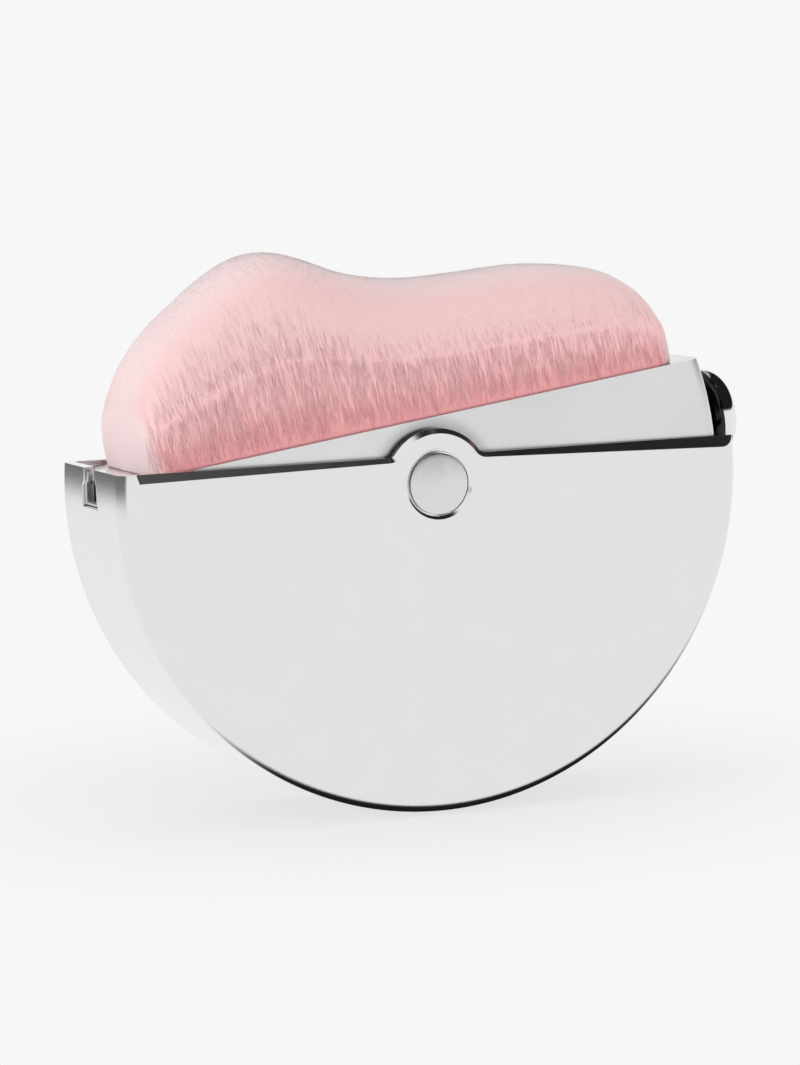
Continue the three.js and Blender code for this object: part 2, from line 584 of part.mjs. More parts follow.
// The strands of one slice, each with its root, its tip and the side to which its section points
function strandsOf(number) {
  const strands = [];
  const corner = BACKING_CORNER - COLUMN_STEP / 2;
  for (let c = number * COLUMNS_PER_SLICE; c < (number + 1) * COLUMNS_PER_SLICE; c += 1) {
    for (let r = 0; r < ROWS; r += 1) {
      const x = -ROOT_HALF_LENGTH + c * COLUMN_STEP;
      const y = -ROOT_HALF_WIDTH + (r + (c % 2) / 2) * ROW_STEP;
      const past = Math.hypot(Math.max(Math.abs(x) - ROOT_HALF_LENGTH + corner, 0),
        Math.max(Math.abs(y) - ROOT_HALF_WIDTH + corner, 0));
      if (past <= corner) {
        const tip = strandTip(x / ROOT_HALF_LENGTH, y / ROOT_HALF_WIDTH);
        strands.push({ root: new THREE.Vector3(x, y, BACKING_TOP), tip, side: c % 2 ? -1 : 1 });
      }
    }
  }
  return strands;
}

// The three corners of a strand's section
function strandSection(centre, radius, side) {
  return [0, 1, 2].map((k) => {
    const angle = radians(120 * k) + (side < 0 ? Math.PI : 0);
    const reach = new THREE.Vector3(Math.cos(angle), Math.sin(angle), 0);
    return centre.clone().addScaledVector(reach, radius);
  });
}

// One slice of the bristles: its stretch of backing with the strands of its columns fused to it.
// Each strand is three-sided and thins to a point.
function bristleSlice(number) {
  const first = number === 0;
  const last = number === SLICES.length - 1;
  const edge = (n) => -ROOT_HALF_LENGTH + (n * COLUMNS_PER_SLICE - 0.5) * COLUMN_STEP;
  const left = first ? -BLOCK_HALF_LENGTH : edge(number) + SEAT / 2;
  const right = last ? BLOCK_HALF_LENGTH : edge(number + 1) - SEAT / 2;
  const outline = backingOutline(left, right, first, last);
  const strands = strandsOf(number);
  const roots = strands.map(({ root, side }) => strandSection(root, STRAND_RADIUS, side));
  const holes = roots.map((corners) => corners.map((p) => new THREE.Vector2(p.x, p.y)));
  const points = outline.map((p) => new THREE.Vector3(p.x, p.y, BACKING_TOP)).concat(roots.flat());
  const index = THREE.ShapeUtils.triangulateShape([...outline], holes).flat();

  const under = points.length;
  points.push(...outline.map((p) => new THREE.Vector3(p.x, p.y, BACKING_BOTTOM)));
  for (const [a, b, c] of THREE.ShapeUtils.triangulateShape([...outline], [])) {
    index.push(under + c, under + b, under + a);
  }
  outline.forEach((_, i) => {
    const next = (i + 1) % outline.length;
    index.push(under + i, under + next, next, under + i, next, i);
  });

  strands.forEach(({ root, tip, side }, n) => {
    const base = outline.length + 3 * n;
    const shoulder = points.length;
    const centre = root.clone().lerp(tip, STRAND_SHOULDER_SHARE);
    points.push(...strandSection(centre, STRAND_RADIUS * STRAND_SHOULDER_SHARE, side), tip);
    for (const [a, b] of [[0, 1], [1, 2], [2, 0]]) {
      index.push(base + a, base + b, shoulder + b, base + a, shoulder + b, shoulder + a);
      index.push(shoulder + a, shoulder + b, shoulder + 3);
    }
  });
  return indexed(points, index);
}

const fixed = new THREE.Group();
addPiece(fixed, 'case_shell', caseShell(), caseMetal);
addPiece(fixed, 'slot_clip', slotClip(), springSteel);
addPiece(fixed, 'pivot_post', pinPost(), buttonMetal);
addPiece(fixed, 'pivot_screw', pinScrew(), steel);
addPiece(fixed, 'thrust_washer', thrustWasher(), nylon);
addPiece(fixed, 'wave_washer', waveWasher(), springSteel);

const head = new THREE.Group();
head.rotation.y = -HEAD_TILT;
addPiece(head, 'head_shell', headShell(), headMetal);
addPiece(head, 'head_cover', headCover(), headMetal);
addPiece(head, 'front_bush', frontBush(), nylon);
addPiece(head, 'rear_bush', frontBush().rotateZ(Math.PI), nylon);
addPiece(head, 'brush_block', brushBlock(), blockPlastic);
addPiece(head, 'block_screw_left', blockScrew(-1), steel);
addPiece(head, 'block_screw_right', blockScrew(1), steel);
addPiece(head, 'fibre_bed', fibreBed(), resin);
addPiece(head, 'thumb_knob', thumbKnob(), knobMetal);
addPiece(head, 'knob_stud', knobStud(), steel);
SLICES.forEach((name, number) => addPiece(head, name, bristleSlice(number), fibre));

// The part's own zero point is the middle of the case's flat back
const group = new THREE.Group();
group.add(fixed, head);
group.position.set(0, -HALF_DEPTH, BACK_POINT_DROP);

export default group;
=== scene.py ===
"""Blending brush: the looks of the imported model.

A half-disc case of polished metal carries a brush head on a cross pin. The head is a round-ended
metal bar full of soft pink fibres, with a domed thumb knob at its right end. The case, its clip and
pin, the head's bar and cover, the knob and its stud are modelled again here with smooth curves, and
the tuft is made of single fibres over a closed core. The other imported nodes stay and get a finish.
Lengths are in metres. Shapes are drawn about the pin, whose axis is Y and runs through zero, with
+X to the right, -Y to the front and +Z up, and are then moved to where the frame has them.
"""

import json
import logging
import math
from collections.abc import Callable, Iterator, Sequence
from contextlib import contextmanager
from dataclasses import dataclass, field
from enum import Enum

import bmesh
import bpy
import numpy as np
from mathutils import Matrix, Vector


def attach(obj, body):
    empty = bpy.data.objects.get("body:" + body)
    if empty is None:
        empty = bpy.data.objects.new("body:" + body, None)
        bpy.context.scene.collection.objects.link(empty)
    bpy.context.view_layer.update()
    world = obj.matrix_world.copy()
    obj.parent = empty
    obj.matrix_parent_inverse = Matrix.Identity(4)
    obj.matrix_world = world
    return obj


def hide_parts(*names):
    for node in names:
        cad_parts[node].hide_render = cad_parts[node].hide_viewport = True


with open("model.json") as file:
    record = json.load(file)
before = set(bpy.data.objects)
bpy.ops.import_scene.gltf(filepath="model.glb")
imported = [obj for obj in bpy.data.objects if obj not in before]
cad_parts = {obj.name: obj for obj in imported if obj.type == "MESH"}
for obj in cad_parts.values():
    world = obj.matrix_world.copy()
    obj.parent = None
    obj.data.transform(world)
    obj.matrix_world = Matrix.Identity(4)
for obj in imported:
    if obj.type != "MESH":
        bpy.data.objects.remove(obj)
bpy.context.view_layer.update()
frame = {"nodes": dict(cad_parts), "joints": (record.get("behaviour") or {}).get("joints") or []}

MM = 0.001
FIBRE_MAP = "OFBake"  # the map that the fibres' colours are drawn on
RUNNING_GAP = 0.3 * MM  # between the head and the case
END_GAP = 0.4 * MM  # between the head's round ends and the inside of the rim
FIT = 0.15 * MM  # round a piece in its hole
SEAT = 0.1 * MM  # under a seated face
OVERRUN = 1 * MM  # how far a cutting body passes the face that it cuts
PIVOT = Vector(frame["joints"][0]["pos_m"])

log = logging.getLogger("blending_brush")

Point = tuple[float, float]
Way = tuple[float, float, float]
Ramp = tuple[float, float, float, float]  # the values that a ramp starts and ends at, and what they give
NOISE_SPAN: Point = (0.3, 0.7)  # where most of a noise's values lie


class Body(Enum):
    """The bodies that pieces move with."""

    CASE = "case"
    HEAD = "head"


class Slot(Enum):
    """The material slots of the record."""

    CASE_METAL = "case_metal"
    HEAD_METAL = "head_metal"
    BUTTON_METAL = "button_metal"
    KNOB_METAL = "knob_metal"
    STEEL = "steel"
    SPRING_STEEL = "spring_steel"
    NYLON = "nylon"
    BLOCK_PLASTIC = "block_plastic"
    RESIN = "resin"
    FIBRE = "fibre"


class Joining(Enum):
    """How a tool body changes the piece that it meets."""

    KEEP = "INTERSECT"
    CUT = "DIFFERENCE"


class Part(Enum):
    """What is picked in edit mode."""

    EDGES = "edges"
    FACES = "faces"


# Modelling


def choose(piece: bpy.types.Object) -> None:
    """Selects one piece alone and makes it the active one.

    Args:
        piece: The piece that the next operators act on.
    """
    bpy.ops.object.select_all(action="DESELECT")
    piece.select_set(True)
    bpy.context.view_layer.objects.active = piece


@contextmanager
def editing(piece: bpy.types.Object) -> Iterator[None]:
    """Opens a piece in edit mode with all of it selected, and closes it again.

    Args:
        piece: The piece to edit.

    Yields:
        Nothing: operators inside the block act on the piece's mesh.
    """
    choose(piece)
    bpy.ops.object.mode_set(mode="EDIT")
    bpy.ops.mesh.select_mode(type="FACE")
    bpy.ops.mesh.select_all(action="SELECT")
    yield
    bpy.ops.object.mode_set(mode="OBJECT")


def pick(piece: bpy.types.Object, part: Part, test: Callable[..., bool]) -> None:
    """Selects edges or faces by their place or direction. The piece is in edit mode.

    Args:
        piece: The piece that is open in edit mode.
        part: Whether edges or faces are picked.
        test: Says of one bmesh edge or face whether it is wanted.
    """
    bpy.ops.mesh.select_mode(type="EDGE" if part is Part.EDGES else "FACE")
    bpy.ops.mesh.select_all(action="DESELECT")
    mesh = bmesh.from_edit_mesh(piece.data)
    for element in getattr(mesh, part.value):
        if test(element):
            element.select_set(True)
    bmesh.update_edit_mesh(piece.data)


def new_piece(name: str) -> bpy.types.Object:
    """Names the primitive that was just added and settles its place into its mesh.

    Args:
        name: The piece's name.

    Returns:
        The piece, at the origin.
    """
    piece = bpy.context.object
    piece.name = name
    piece.data.name = name
    choose(piece)
    bpy.ops.object.transform_apply(location=True, rotation=True, scale=True)
    return piece


def arc(x: float, y: float, radius: float, start: float, end: float, steps: int) -> list[Point]:
    """Gives the points of an arc, both ends included.

    Args:
        x: The centre's first coordinate.
        y: The centre's second coordinate.
        radius: The arc's radius.
        start: The first angle, in degrees.
        end: The last angle, in degrees.
        steps: How many steps it takes.

    Returns:
        The points in order.
    """
    angles = [math.radians(start + (end - start) * i / steps) for i in range(steps + 1)]
    return [(x + radius * math.cos(a), y + radius * math.sin(a)) for a in angles]


def turned(name: str, outline: Sequence[Point], steps: int) -> bpy.types.Object:
    """Turns a closed body about the Y axis: a disc is extruded and resized ring by ring.

    Args:
        name: The piece's name.
        outline: (radius, place along Y) from one end of the body to the other.
        steps: How many sides a full turn has.

    Returns:
        The body, with its faces pointing out.
    """
    (radius, along), *others = outline
    bpy.ops.mesh.primitive_circle_add(vertices=steps, radius=radius, fill_type="NGON",
                                      location=(0, along, 0), rotation=(math.pi / 2, 0, 0))
    piece = new_piece(name)
    with editing(piece):
        for next_radius, next_along in others:
            step = {"value": (0, next_along - along, 0)}
            bpy.ops.mesh.extrude_region_move(TRANSFORM_OT_translate=step)
            share = next_radius / radius
            bpy.ops.transform.resize(value=(share, 1, share), center_override=(0, next_along, 0))
            radius, along = next_radius, next_along
        bpy.ops.mesh.select_all(action="SELECT")
        bpy.ops.mesh.normals_make_consistent(inside=False)
    return piece


def slab(name: str, half: Vector, corner: float, bottom: float, top: float,
         corner_steps: int = 10) -> bpy.types.Object:
    """Makes a level slab with round corners about the middle.

    Args:
        name: The piece's name.
        half: Half its length along X and half its width along Y.
        corner: The radius of its upright corners, or 0 for sharp ones.
        bottom: The height of its lower face.
        top: The height of its upper face.
        corner_steps: How many steps a round corner has.

    Returns:
        The slab.
    """
    bpy.ops.mesh.primitive_cube_add(size=2, location=(0, 0, (bottom + top) / 2),
                                    scale=(half[0], half[1], (top - bottom) / 2))
    piece = new_piece(name)
    if corner:
        with editing(piece):
            pick(piece, Part.EDGES, lambda e: abs((e.verts[0].co - e.verts[1].co).z) > SEAT)
            bpy.ops.mesh.bevel(offset=corner, segments=corner_steps, affect="EDGES")
    return piece


def flare_top(piece: bpy.types.Object, top: float, half: Vector, flare: float) -> None:
    """Extrudes a slab's upper face past the given height and widens it, to cut a chamfer.

    Args:
        piece: A slab about the middle whose upper face lies one flare under the mouth.
        top: The height of that upper face.
        half: Half the slab's length and width.
        flare: The width and depth of the chamfer at the mouth.
    """
    wide = tuple((half[i] + 2 * flare) / half[i] for i in range(2))
    with editing(piece):
        pick(piece, Part.FACES, lambda f: f.normal.z > 0.9 and f.calc_center_median().z > top - SEAT)
        bpy.ops.mesh.extrude_region_move(TRANSFORM_OT_translate={"value": (0, 0, 2 * flare)})
        bpy.ops.transform.resize(value=(*wide, 1), center_override=(0, 0, top + 2 * flare))


def lofted(name: str, rings: Sequence[Sequence[Vector]]) -> bpy.types.Object:
    """Extrudes a body through rings of points, each ring drawn point by point.

    Args:
        name: The piece's name.
        rings: Rings of equal counts of points, from one end of the body to the other.

    Returns:
        The body, with its faces pointing out.
    """
    bpy.ops.mesh.primitive_circle_add(vertices=len(rings[0]), radius=1 * MM, fill_type="NGON")
    piece = new_piece(name)
    for vertex, point in zip(piece.data.vertices, rings[0]):
        vertex.co = point
    with editing(piece):
        numbers = {i: i for i in range(len(rings[0]))}
        for ring in rings[1:]:
            bpy.ops.mesh.extrude_region_move(TRANSFORM_OT_translate={"value": (0, 0, 0)})
            mesh = bmesh.from_edit_mesh(piece.data)
            mesh.verts.ensure_lookup_table()
            following = {}
            for vertex in (v for v in mesh.verts if v.select):
                before = next(v for e in vertex.link_edges for v in e.verts if not v.select)
                following[vertex.index] = numbers[before.index]
                vertex.co = ring[numbers[before.index]]
            numbers = following
            bmesh.update_edit_mesh(piece.data)
        bpy.ops.mesh.select_all(action="SELECT")
        bpy.ops.mesh.normals_make_consistent(inside=False)
    return piece


def combine(piece: bpy.types.Object, tool: bpy.types.Object, how: Joining) -> None:
    """Cuts a piece with a tool body, or keeps what lies in it, and clears the tool away.

    Args:
        piece: The piece that changes.
        tool: A closed body.
        how: Whether the tool is kept to or cut out.
    """
    choose(piece)
    bpy.ops.object.modifier_add(type="BOOLEAN")
    modifier = piece.modifiers[-1]
    modifier.operation = how.value
    modifier.object = tool
    modifier.solver = "EXACT"
    bpy.ops.object.modifier_apply(modifier=modifier.name)
    bpy.data.meshes.remove(tool.data)


def place(piece: bpy.types.Object, matrix: Matrix) -> bpy.types.Object:
    """Moves a piece and settles its place into its mesh.

    Args:
        piece: The piece, at the origin.
        matrix: Where it goes.

    Returns:
        The same piece.
    """
    piece.matrix_world = matrix
    choose(piece)
    bpy.ops.object.transform_apply(location=True, rotation=True, scale=True)
    return piece


def polish(piece: bpy.types.Object, crease: float = 28) -> None:
    """Shades a machined piece smooth between its real edges, and keeps its flat faces flat.

    Args:
        piece: The finished mesh.
        crease: The angle in degrees from which an edge stays sharp.
    """
    with editing(piece):
        bpy.ops.mesh.remove_doubles(threshold=MM / 1000)
    choose(piece)
    bpy.ops.object.shade_smooth_by_angle(angle=math.radians(crease))
    bpy.ops.object.modifier_add(type="WEIGHTED_NORMAL")
    modifier = piece.modifiers[-1]
    modifier.keep_sharp = True
    bpy.ops.object.modifier_apply(modifier=modifier.name)


# Finishes


@dataclass(frozen=True)
class Wiring:
    """A node tree and a short way to add nodes to it."""

    tree: bpy.types.NodeTree

    def add(self, kind: str, inputs: dict | None = None, **settings) -> bpy.types.Node:
        """Adds a node.

        Args:
            kind: The node's type, without its ShaderNode prefix.
            inputs: Values or output sockets by input name or number.
            settings: Properties of the node itself.

        Returns:
            The new node.
        """
        node = self.tree.nodes.new("ShaderNode" + kind)
        for key, value in settings.items():
            setattr(node, key, value)
        for key, value in (inputs or {}).items():
            if isinstance(value, bpy.types.NodeSocket):
                self.tree.links.new(value, node.inputs[key])
            else:
                node.inputs[key].default_value = value
        return node

    def math(self, operation: str, *values) -> bpy.types.NodeSocket:
        """Adds a Math node and gives its output; values are numbers or sockets."""
        return self.add("Math", dict(enumerate(values)), operation=operation).outputs[0]

    def ramp(self, value, low: float, high: float, to_low: float = 0, to_high: float = 1,
             smooth: bool = True) -> bpy.types.NodeSocket:
        """Maps a value from one range to another, held at both ends.

        Args:
            value: The socket to read.
            low: The value that gives to_low.
            high: The value that gives to_high.
            to_low: The lower result.
            to_high: The upper result.
            smooth: Whether the ramp eases in and out.

        Returns:
            The mapped value's socket.
        """
        kind = "SMOOTHSTEP" if smooth else "LINEAR"
        inputs = {0: value, 1: low, 2: high, 3: to_low, 4: to_high}
        return self.add("MapRange", inputs, interpolation_type=kind).outputs[0]

    def noise(self, spot: bpy.types.NodeSocket, size: float, detail: float,
              **others: float) -> bpy.types.NodeSocket:
        """Adds a noise.

        Args:
            spot: Where it is read.
            size: The size of its spots.
            detail: How many finer layers it has.
            others: More inputs of the node by name.

        Returns:
            The noise's socket.
        """
        inputs = {"Vector": spot, "Scale": 1 / size, "Detail": detail, **others}
        return self.add("TexNoise", inputs).outputs[0]

    def finish(self, shader: bpy.types.Node, colour: bpy.types.NodeSocket, rough: bpy.types.NodeSocket,
               bump: bpy.types.Node) -> None:
        """Links a colour, a roughness and a bump to a shader.

        Args:
            shader: The Principled shader.
            colour: The base colour.
            rough: The roughness.
            bump: The Bump node.
        """
        for name, socket in (("Base Color", colour), ("Roughness", rough), ("Normal", bump.outputs[0])):
            self.tree.links.new(socket, shader.inputs[name])

    def mix(self, share, first, second) -> bpy.types.NodeSocket:
        """Mixes two colours by a share and gives the result's socket."""
        node = self.add("Mix", data_type="RGBA")
        for index, value in ((0, share), (6, first), (7, second)):
            if isinstance(value, bpy.types.NodeSocket):
                self.tree.links.new(value, node.inputs[index])
            else:
                node.inputs[index].default_value = value
        return node.outputs[2]


def shade(colour: Sequence[float], factor: float) -> tuple[float, float, float, float]:
    """Gives a colour scaled by a factor, with full alpha."""
    return (*(channel * factor for channel in colour[:3]), 1.0)


@dataclass(frozen=True)
class Finish:
    """A surface finish. Each kind of finish wires its own shader."""

    name: str
    colour: tuple[float, float, float]
    roughness: float

    def wire(self, wiring: Wiring, shader: bpy.types.Node) -> None:
        """Wires the finish; a plain finish has nothing to add."""

    def material(self) -> bpy.types.Material:
        """Makes the material, or gives the one that is there already.

        Returns:
            The node material of this finish.
        """
        found = bpy.data.materials.get(self.name)
        if found:
            return found
        material = bpy.data.materials.new(self.name)
        material.use_nodes = True
        wiring = Wiring(material.node_tree)
        shader = material.node_tree.nodes["Principled BSDF"]
        self.wire(wiring, shader)
        return material


@dataclass(frozen=True)
class PolishedMetal(Finish):
    """Polished metal with faint clouds, a fine grain, the smears of handling and, where asked, a ring of
    painted shade round the pin.
    """

    cloud_size: float = 5 * MM
    cloud: float = 0.03
    grain_size: float = 0.25 * MM
    grain_height: float = 0.0006 * MM
    smear: float = 0.25  # how far the roughness strays, as a share of it
    smear_size: float = 2.5  # times the clouds' size
    painted_shade_ring: Point = (0.0, 0.0)  # a ring of painted shade round the pin: where it starts to fade, and where it ends
    # how dark the ring of painted shade gets, as a factor on the colour
    painted_shade_factor: float = 1.0

    def wire(self, wiring: Wiring, shader: bpy.types.Node) -> None:
        """Wires clouds into the colour, smears into the roughness and grain into the bump, and where asked
        darkens the colour round the pin as painted shade.

        Args:
            wiring: The material's node tree.
            shader: Its Principled shader.
        """
        place_on = wiring.add("TexCoord").outputs["Object"]
        clouds = wiring.noise(place_on, self.cloud_size, 3.0, Roughness=0.55)
        smears = wiring.noise(place_on, self.cloud_size * self.smear_size, 5.0, Distortion=0.8)
        grain = wiring.noise(place_on, self.grain_size, 4.0)
        spread = wiring.ramp(clouds, *NOISE_SPAN)
        colour = wiring.mix(spread, shade(self.colour, 1 - self.cloud), shade(self.colour, 1 + self.cloud))
        # Painted shade and reflection: the colour darkens in a ring round the pin, where the ear shades the
        # head's face and is mirrored darkly in it.
        if self.painted_shade_factor < 1:
            level = wiring.add("VectorMath", {0: place_on, 1: -PIVOT}, operation="ADD").outputs[0]
            level = wiring.add("VectorMath", {0: level, 1: (1, 0, 1)}, operation="MULTIPLY").outputs[0]
            away = wiring.add("VectorMath", {0: level}, operation="LENGTH").outputs[1]
            colour = wiring.mix(wiring.ramp(away, *self.painted_shade_ring), shade(self.colour, self.painted_shade_factor), colour)
        rough = wiring.ramp(smears, *NOISE_SPAN, self.roughness * (1 - self.smear),
                            self.roughness * (1 + self.smear))
        bump = wiring.add("Bump", {"Height": grain, "Distance": self.grain_height, "Strength": 1.0})
        wiring.finish(shader, colour, rough, bump)
        shader.inputs["Metallic"].default_value = 1.0


@dataclass(frozen=True)
class TurnedMetal(Finish):
    """Metal with the fine rings that a lathe leaves about the pin's axis."""

    ring_pitch: float = 0.12 * MM
    ring_height: float = 0.002 * MM
    patch_size: float = 2 * MM
    tint: Point = (0.92, 1.05)  # between which factors the colour strays
    rough_span: Point = (0.8, 1.25)  # and the roughness

    def wire(self, wiring: Wiring, shader: bpy.types.Node) -> None:
        """Wires the rings into the bump and a slow noise into colour and roughness.

        Args:
            wiring: The material's node tree.
            shader: Its Principled shader.
        """
        place_on = wiring.add("TexCoord").outputs["Object"]
        centred = wiring.add("Mapping", {"Vector": place_on, "Location": -PIVOT}).outputs[0]
        # The node's rings lie pi / 10 apart at a scale of 1.
        rings = wiring.add("TexWave", {"Vector": centred, "Scale": math.pi / (10 * self.ring_pitch),
                                       "Distortion": 0.6, "Detail": 2.0},
                           wave_type="RINGS", rings_direction="Y").outputs[1]
        slow = wiring.noise(place_on, self.patch_size, 4.0)
        colour = wiring.mix(wiring.ramp(slow, *NOISE_SPAN), *(shade(self.colour, f) for f in self.tint))
        rough = wiring.ramp(slow, *NOISE_SPAN, *(self.roughness * f for f in self.rough_span))
        bump = wiring.add("Bump", {"Height": rings, "Distance": self.ring_height, "Strength": 1.0})
        wiring.finish(shader, colour, rough, bump)
        shader.inputs["Metallic"].default_value = 1.0


@dataclass(frozen=True)
class Moulded(Finish):
    """Moulded plastic or cast resin, with a faint flow pattern and a fine pitted skin."""

    grain_size: float = 0.3 * MM
    grain_height: float = 0.01 * MM
    mottle: float = 0.06
    flow_size: float = 6 * MM
    rough_span: Point = (0.85, 1.15)  # between which factors the roughness strays

    def wire(self, wiring: Wiring, shader: bpy.types.Node) -> None:
        """Wires the flow pattern into the colour and the pits into the bump.

        Args:
            wiring: The material's node tree.
            shader: Its Principled shader.
        """
        place_on = wiring.add("TexCoord").outputs["Object"]
        flow = wiring.noise(place_on, self.flow_size, 3.0, Distortion=1.2)
        pits = wiring.noise(place_on, self.grain_size, 5.0)
        colour = wiring.mix(wiring.ramp(flow, *NOISE_SPAN), shade(self.colour, 1 - self.mottle),
                            shade(self.colour, 1 + self.mottle))
        rough = wiring.ramp(pits, *NOISE_SPAN, *(self.roughness * f for f in self.rough_span))
        bump = wiring.add("Bump", {"Height": pits, "Distance": self.grain_height, "Strength": 0.6})
        wiring.finish(shader, colour, rough, bump)


@dataclass(frozen=True)
class SoftFibre(Finish):
    """Fine fibre: a deep root, a dusty pink length and a pale tip, with no two quite alike.

    The fibres' own map gives the place: U is a number for each fibre, V runs from root to tip.
    The colour darkens towards the root, partly the fibres' own deeper root and partly painted shade
    near the mouth, and its palest part at the tips and ends is partly painted light.
    """

    # the root's colour, whose depth is partly painted shade near the mouth
    root: tuple[float, float, float] = (0.8, 0.34, 0.35)
    tip: tuple[float, float, float] = (0.84, 0.56, 0.565)
    # the palest colour, which is partly painted light on the tips and the tuft's ends
    pale: tuple[float, float, float] = (0.87, 0.67, 0.675)
    columns: int = 256
    stray: float = 0.68  # how far the deepest fibre strays towards the root's colour
    even_from: float = 0.4  # where along the tuft's height the shades start to even out
    even_to: float = 0.76
    even_share: float = 0.08  # how much of the straying is left there
    root_until: float = 0.34  # where along the height the root's colour has gone
    tip_span: Point = (0.22, 0.62)  # where the tip's colour comes in
    pale_span: Point = (0.8, 1)  # where the palest colour comes in
    deep_until: float = 0.8  # fibres with a chance above this don't stray
    specular: float = 0.2
    sheen: float = 0.5

    def chance(self, wiring: Wiring, number: bpy.types.NodeSocket) -> bpy.types.NodeSocket:
        """Gives each fibre a shade of its own, from 0 to 1.

        Args:
            wiring: The material's node tree.
            number: The fibre's place in the map, from 0 to 1.

        Returns:
            The shade's socket.
        """
        column = wiring.math("FLOOR", wiring.math("MULTIPLY", number, float(self.columns)))
        return wiring.add("TexWhiteNoise", {"W": column}, noise_dimensions="1D").outputs[0]

    def wire(self, wiring: Wiring, shader: bpy.types.Node) -> None:
        """Wires the colour along the fibre and each fibre's own shade.

        Args:
            wiring: The material's node tree.
            shader: Its Principled shader.
        """
        spot = wiring.add("TexCoord").outputs["UV"]
        split = wiring.add("SeparateXYZ", {"Vector": spot})
        along = split.outputs[1]
        # Darker towards the root, partly as painted shade near the mouth, and palest at the tips, partly as
        # painted light.
        lower = wiring.mix(wiring.ramp(along, 0, self.root_until), shade(self.root, 1),
                           shade(self.colour, 1))
        whole = wiring.mix(wiring.ramp(along, *self.tip_span), lower, shade(self.tip, 1))
        whole = wiring.mix(wiring.ramp(along, *self.pale_span), whole, shade(self.pale, 1))
        deep = wiring.ramp(self.chance(wiring, split.outputs[0]), 0.0, self.deep_until, 1, 0)
        uneven = wiring.ramp(along, self.even_from, self.even_to, self.stray,
                             self.stray * self.even_share)
        colour = wiring.mix(wiring.math("MULTIPLY", deep, uneven), whole, shade(self.root, 1))
        wiring.tree.links.new(colour, shader.inputs["Base Color"])
        shader.inputs["Roughness"].default_value = self.roughness
        shader.inputs["Specular IOR Level"].default_value = self.specular
        shader.inputs["Sheen Weight"].default_value = self.sheen
        shader.inputs["Sheen Roughness"].default_value = 0.5


@dataclass(frozen=True)
class SoftSkin(SoftFibre):
    """The mass of fibres behind the ones that are modelled: the same colours, in fine streaks.

    The streaks follow the fibres' own direction, which leans with the head.
    """

    lean: float = math.radians(8.28)
    streak_width: float = 0.16 * MM
    streak_length: float = 3 * MM
    streak_span: Point = (0.25, 0.75)  # the part of the noise that the shades are spread over

    def chance(self, wiring: Wiring, number: bpy.types.NodeSocket) -> bpy.types.NodeSocket:
        """Draws the streaks: a noise that is stretched along the fibres.

        Args:
            wiring: The material's node tree.
            number: Not used, because the skin isn't made of counted fibres.

        Returns:
            The shade's socket.
        """
        spot = wiring.add("TexCoord").outputs["Object"]
        across = Vector((math.cos(self.lean), 0, math.sin(self.lean))) / self.streak_width
        depth = Vector((0, 1, 0)) / self.streak_width
        rise = Vector((-math.sin(self.lean), 0, math.cos(self.lean))) / self.streak_length
        parts = [wiring.add("VectorMath", {0: spot, 1: way}, operation="DOT_PRODUCT").outputs[1]
                 for way in (across, depth, rise)]
        stretched = wiring.add("CombineXYZ", dict(enumerate(parts))).outputs[0]
        noise = wiring.add("TexNoise", {"Vector": stretched, "Scale": 1.0, "Detail": 2.0}).outputs[0]
        return wiring.ramp(noise, *self.streak_span)


CASE_METAL = PolishedMetal("case_metal_polished", (0.82, 0.82, 0.822), 0.15, cloud=0.006,
                           grain_height=0.004 * MM, smear=0.1)
# The head's metal carries a ring of painted shade and reflection round the pin, beside the ear.
HEAD_METAL = PolishedMetal("head_metal_polished", (0.8, 0.803, 0.808), 0.28, cloud_size=8 * MM, cloud=0.02,
                           smear=0.1, painted_shade_ring=(5.8 * MM, 7.6 * MM), painted_shade_factor=0.65)
BUTTON_METAL = PolishedMetal("button_metal_polished", (0.75, 0.753, 0.756), 0.25, cloud_size=2 * MM,
                             cloud=0.01)
KNOB_METAL = PolishedMetal("knob_metal_mirror", (0.84, 0.84, 0.845), 0.06, cloud_size=2 * MM,
                           grain_height=0.0002 * MM)
# A near-black colour for the knob's faces below its widest point.
KNOB_BLACK = PolishedMetal("knob_underside_near_black", (0.035, 0.035, 0.036), 0.2, cloud_size=2 * MM)
STEEL = TurnedMetal("steel_turned", (0.6, 0.61, 0.62), 0.3)
SPRING_STEEL = PolishedMetal("spring_steel_rolled", (0.75, 0.755, 0.76), 0.3, cloud_size=1.5 * MM)
NYLON = Moulded("nylon_natural", (0.83, 0.81, 0.77), 0.5)
BLOCK_PLASTIC = Moulded("block_moulded", (0.71, 0.68, 0.64), 0.6)
RESIN = Moulded("resin_cast", (0.72, 0.49, 0.39), 0.25, grain_height=0.004 * MM, mottle=0.12)
# Besides their own colour, the fibres carry painted shade near the mouth and painted light at the tips and
# ends.
FIBRE = SoftFibre("fibre_pink", (0.95, 0.58, 0.585), 0.75)
FIBRE_SKIN = SoftSkin("fibre_skin", (0.93, 0.56, 0.565), 0.8, stray=0.3)


def install(piece: bpy.types.Object, body: Body, finish: Finish,
            stands_for: Sequence[str] = ()) -> None:
    """Dresses a finished piece, puts it on its body and reports it.

    Args:
        piece: The piece, in place.
        body: The body that it moves with.
        finish: Its finish.
        stands_for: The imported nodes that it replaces.
    """
    piece.data.materials.clear()
    piece.data.materials.append(finish.material())
    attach(piece, body.value)
    if stands_for:
        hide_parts(*stands_for)
    triangles = sum(len(p.vertices) - 2 for p in piece.data.polygons)
    log.info("%s: %d triangles, %s, on %s", piece.name, triangles, finish.name, body.value)


def dress_node(name: str, finish: Finish) -> None:
    """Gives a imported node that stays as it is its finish.

    Args:
        name: The node.
        finish: Its finish.
    """
    for slot in frame["nodes"][name].material_slots:
        slot.material = finish.material()
    log.info("%s: kept, %s", name, finish.name)


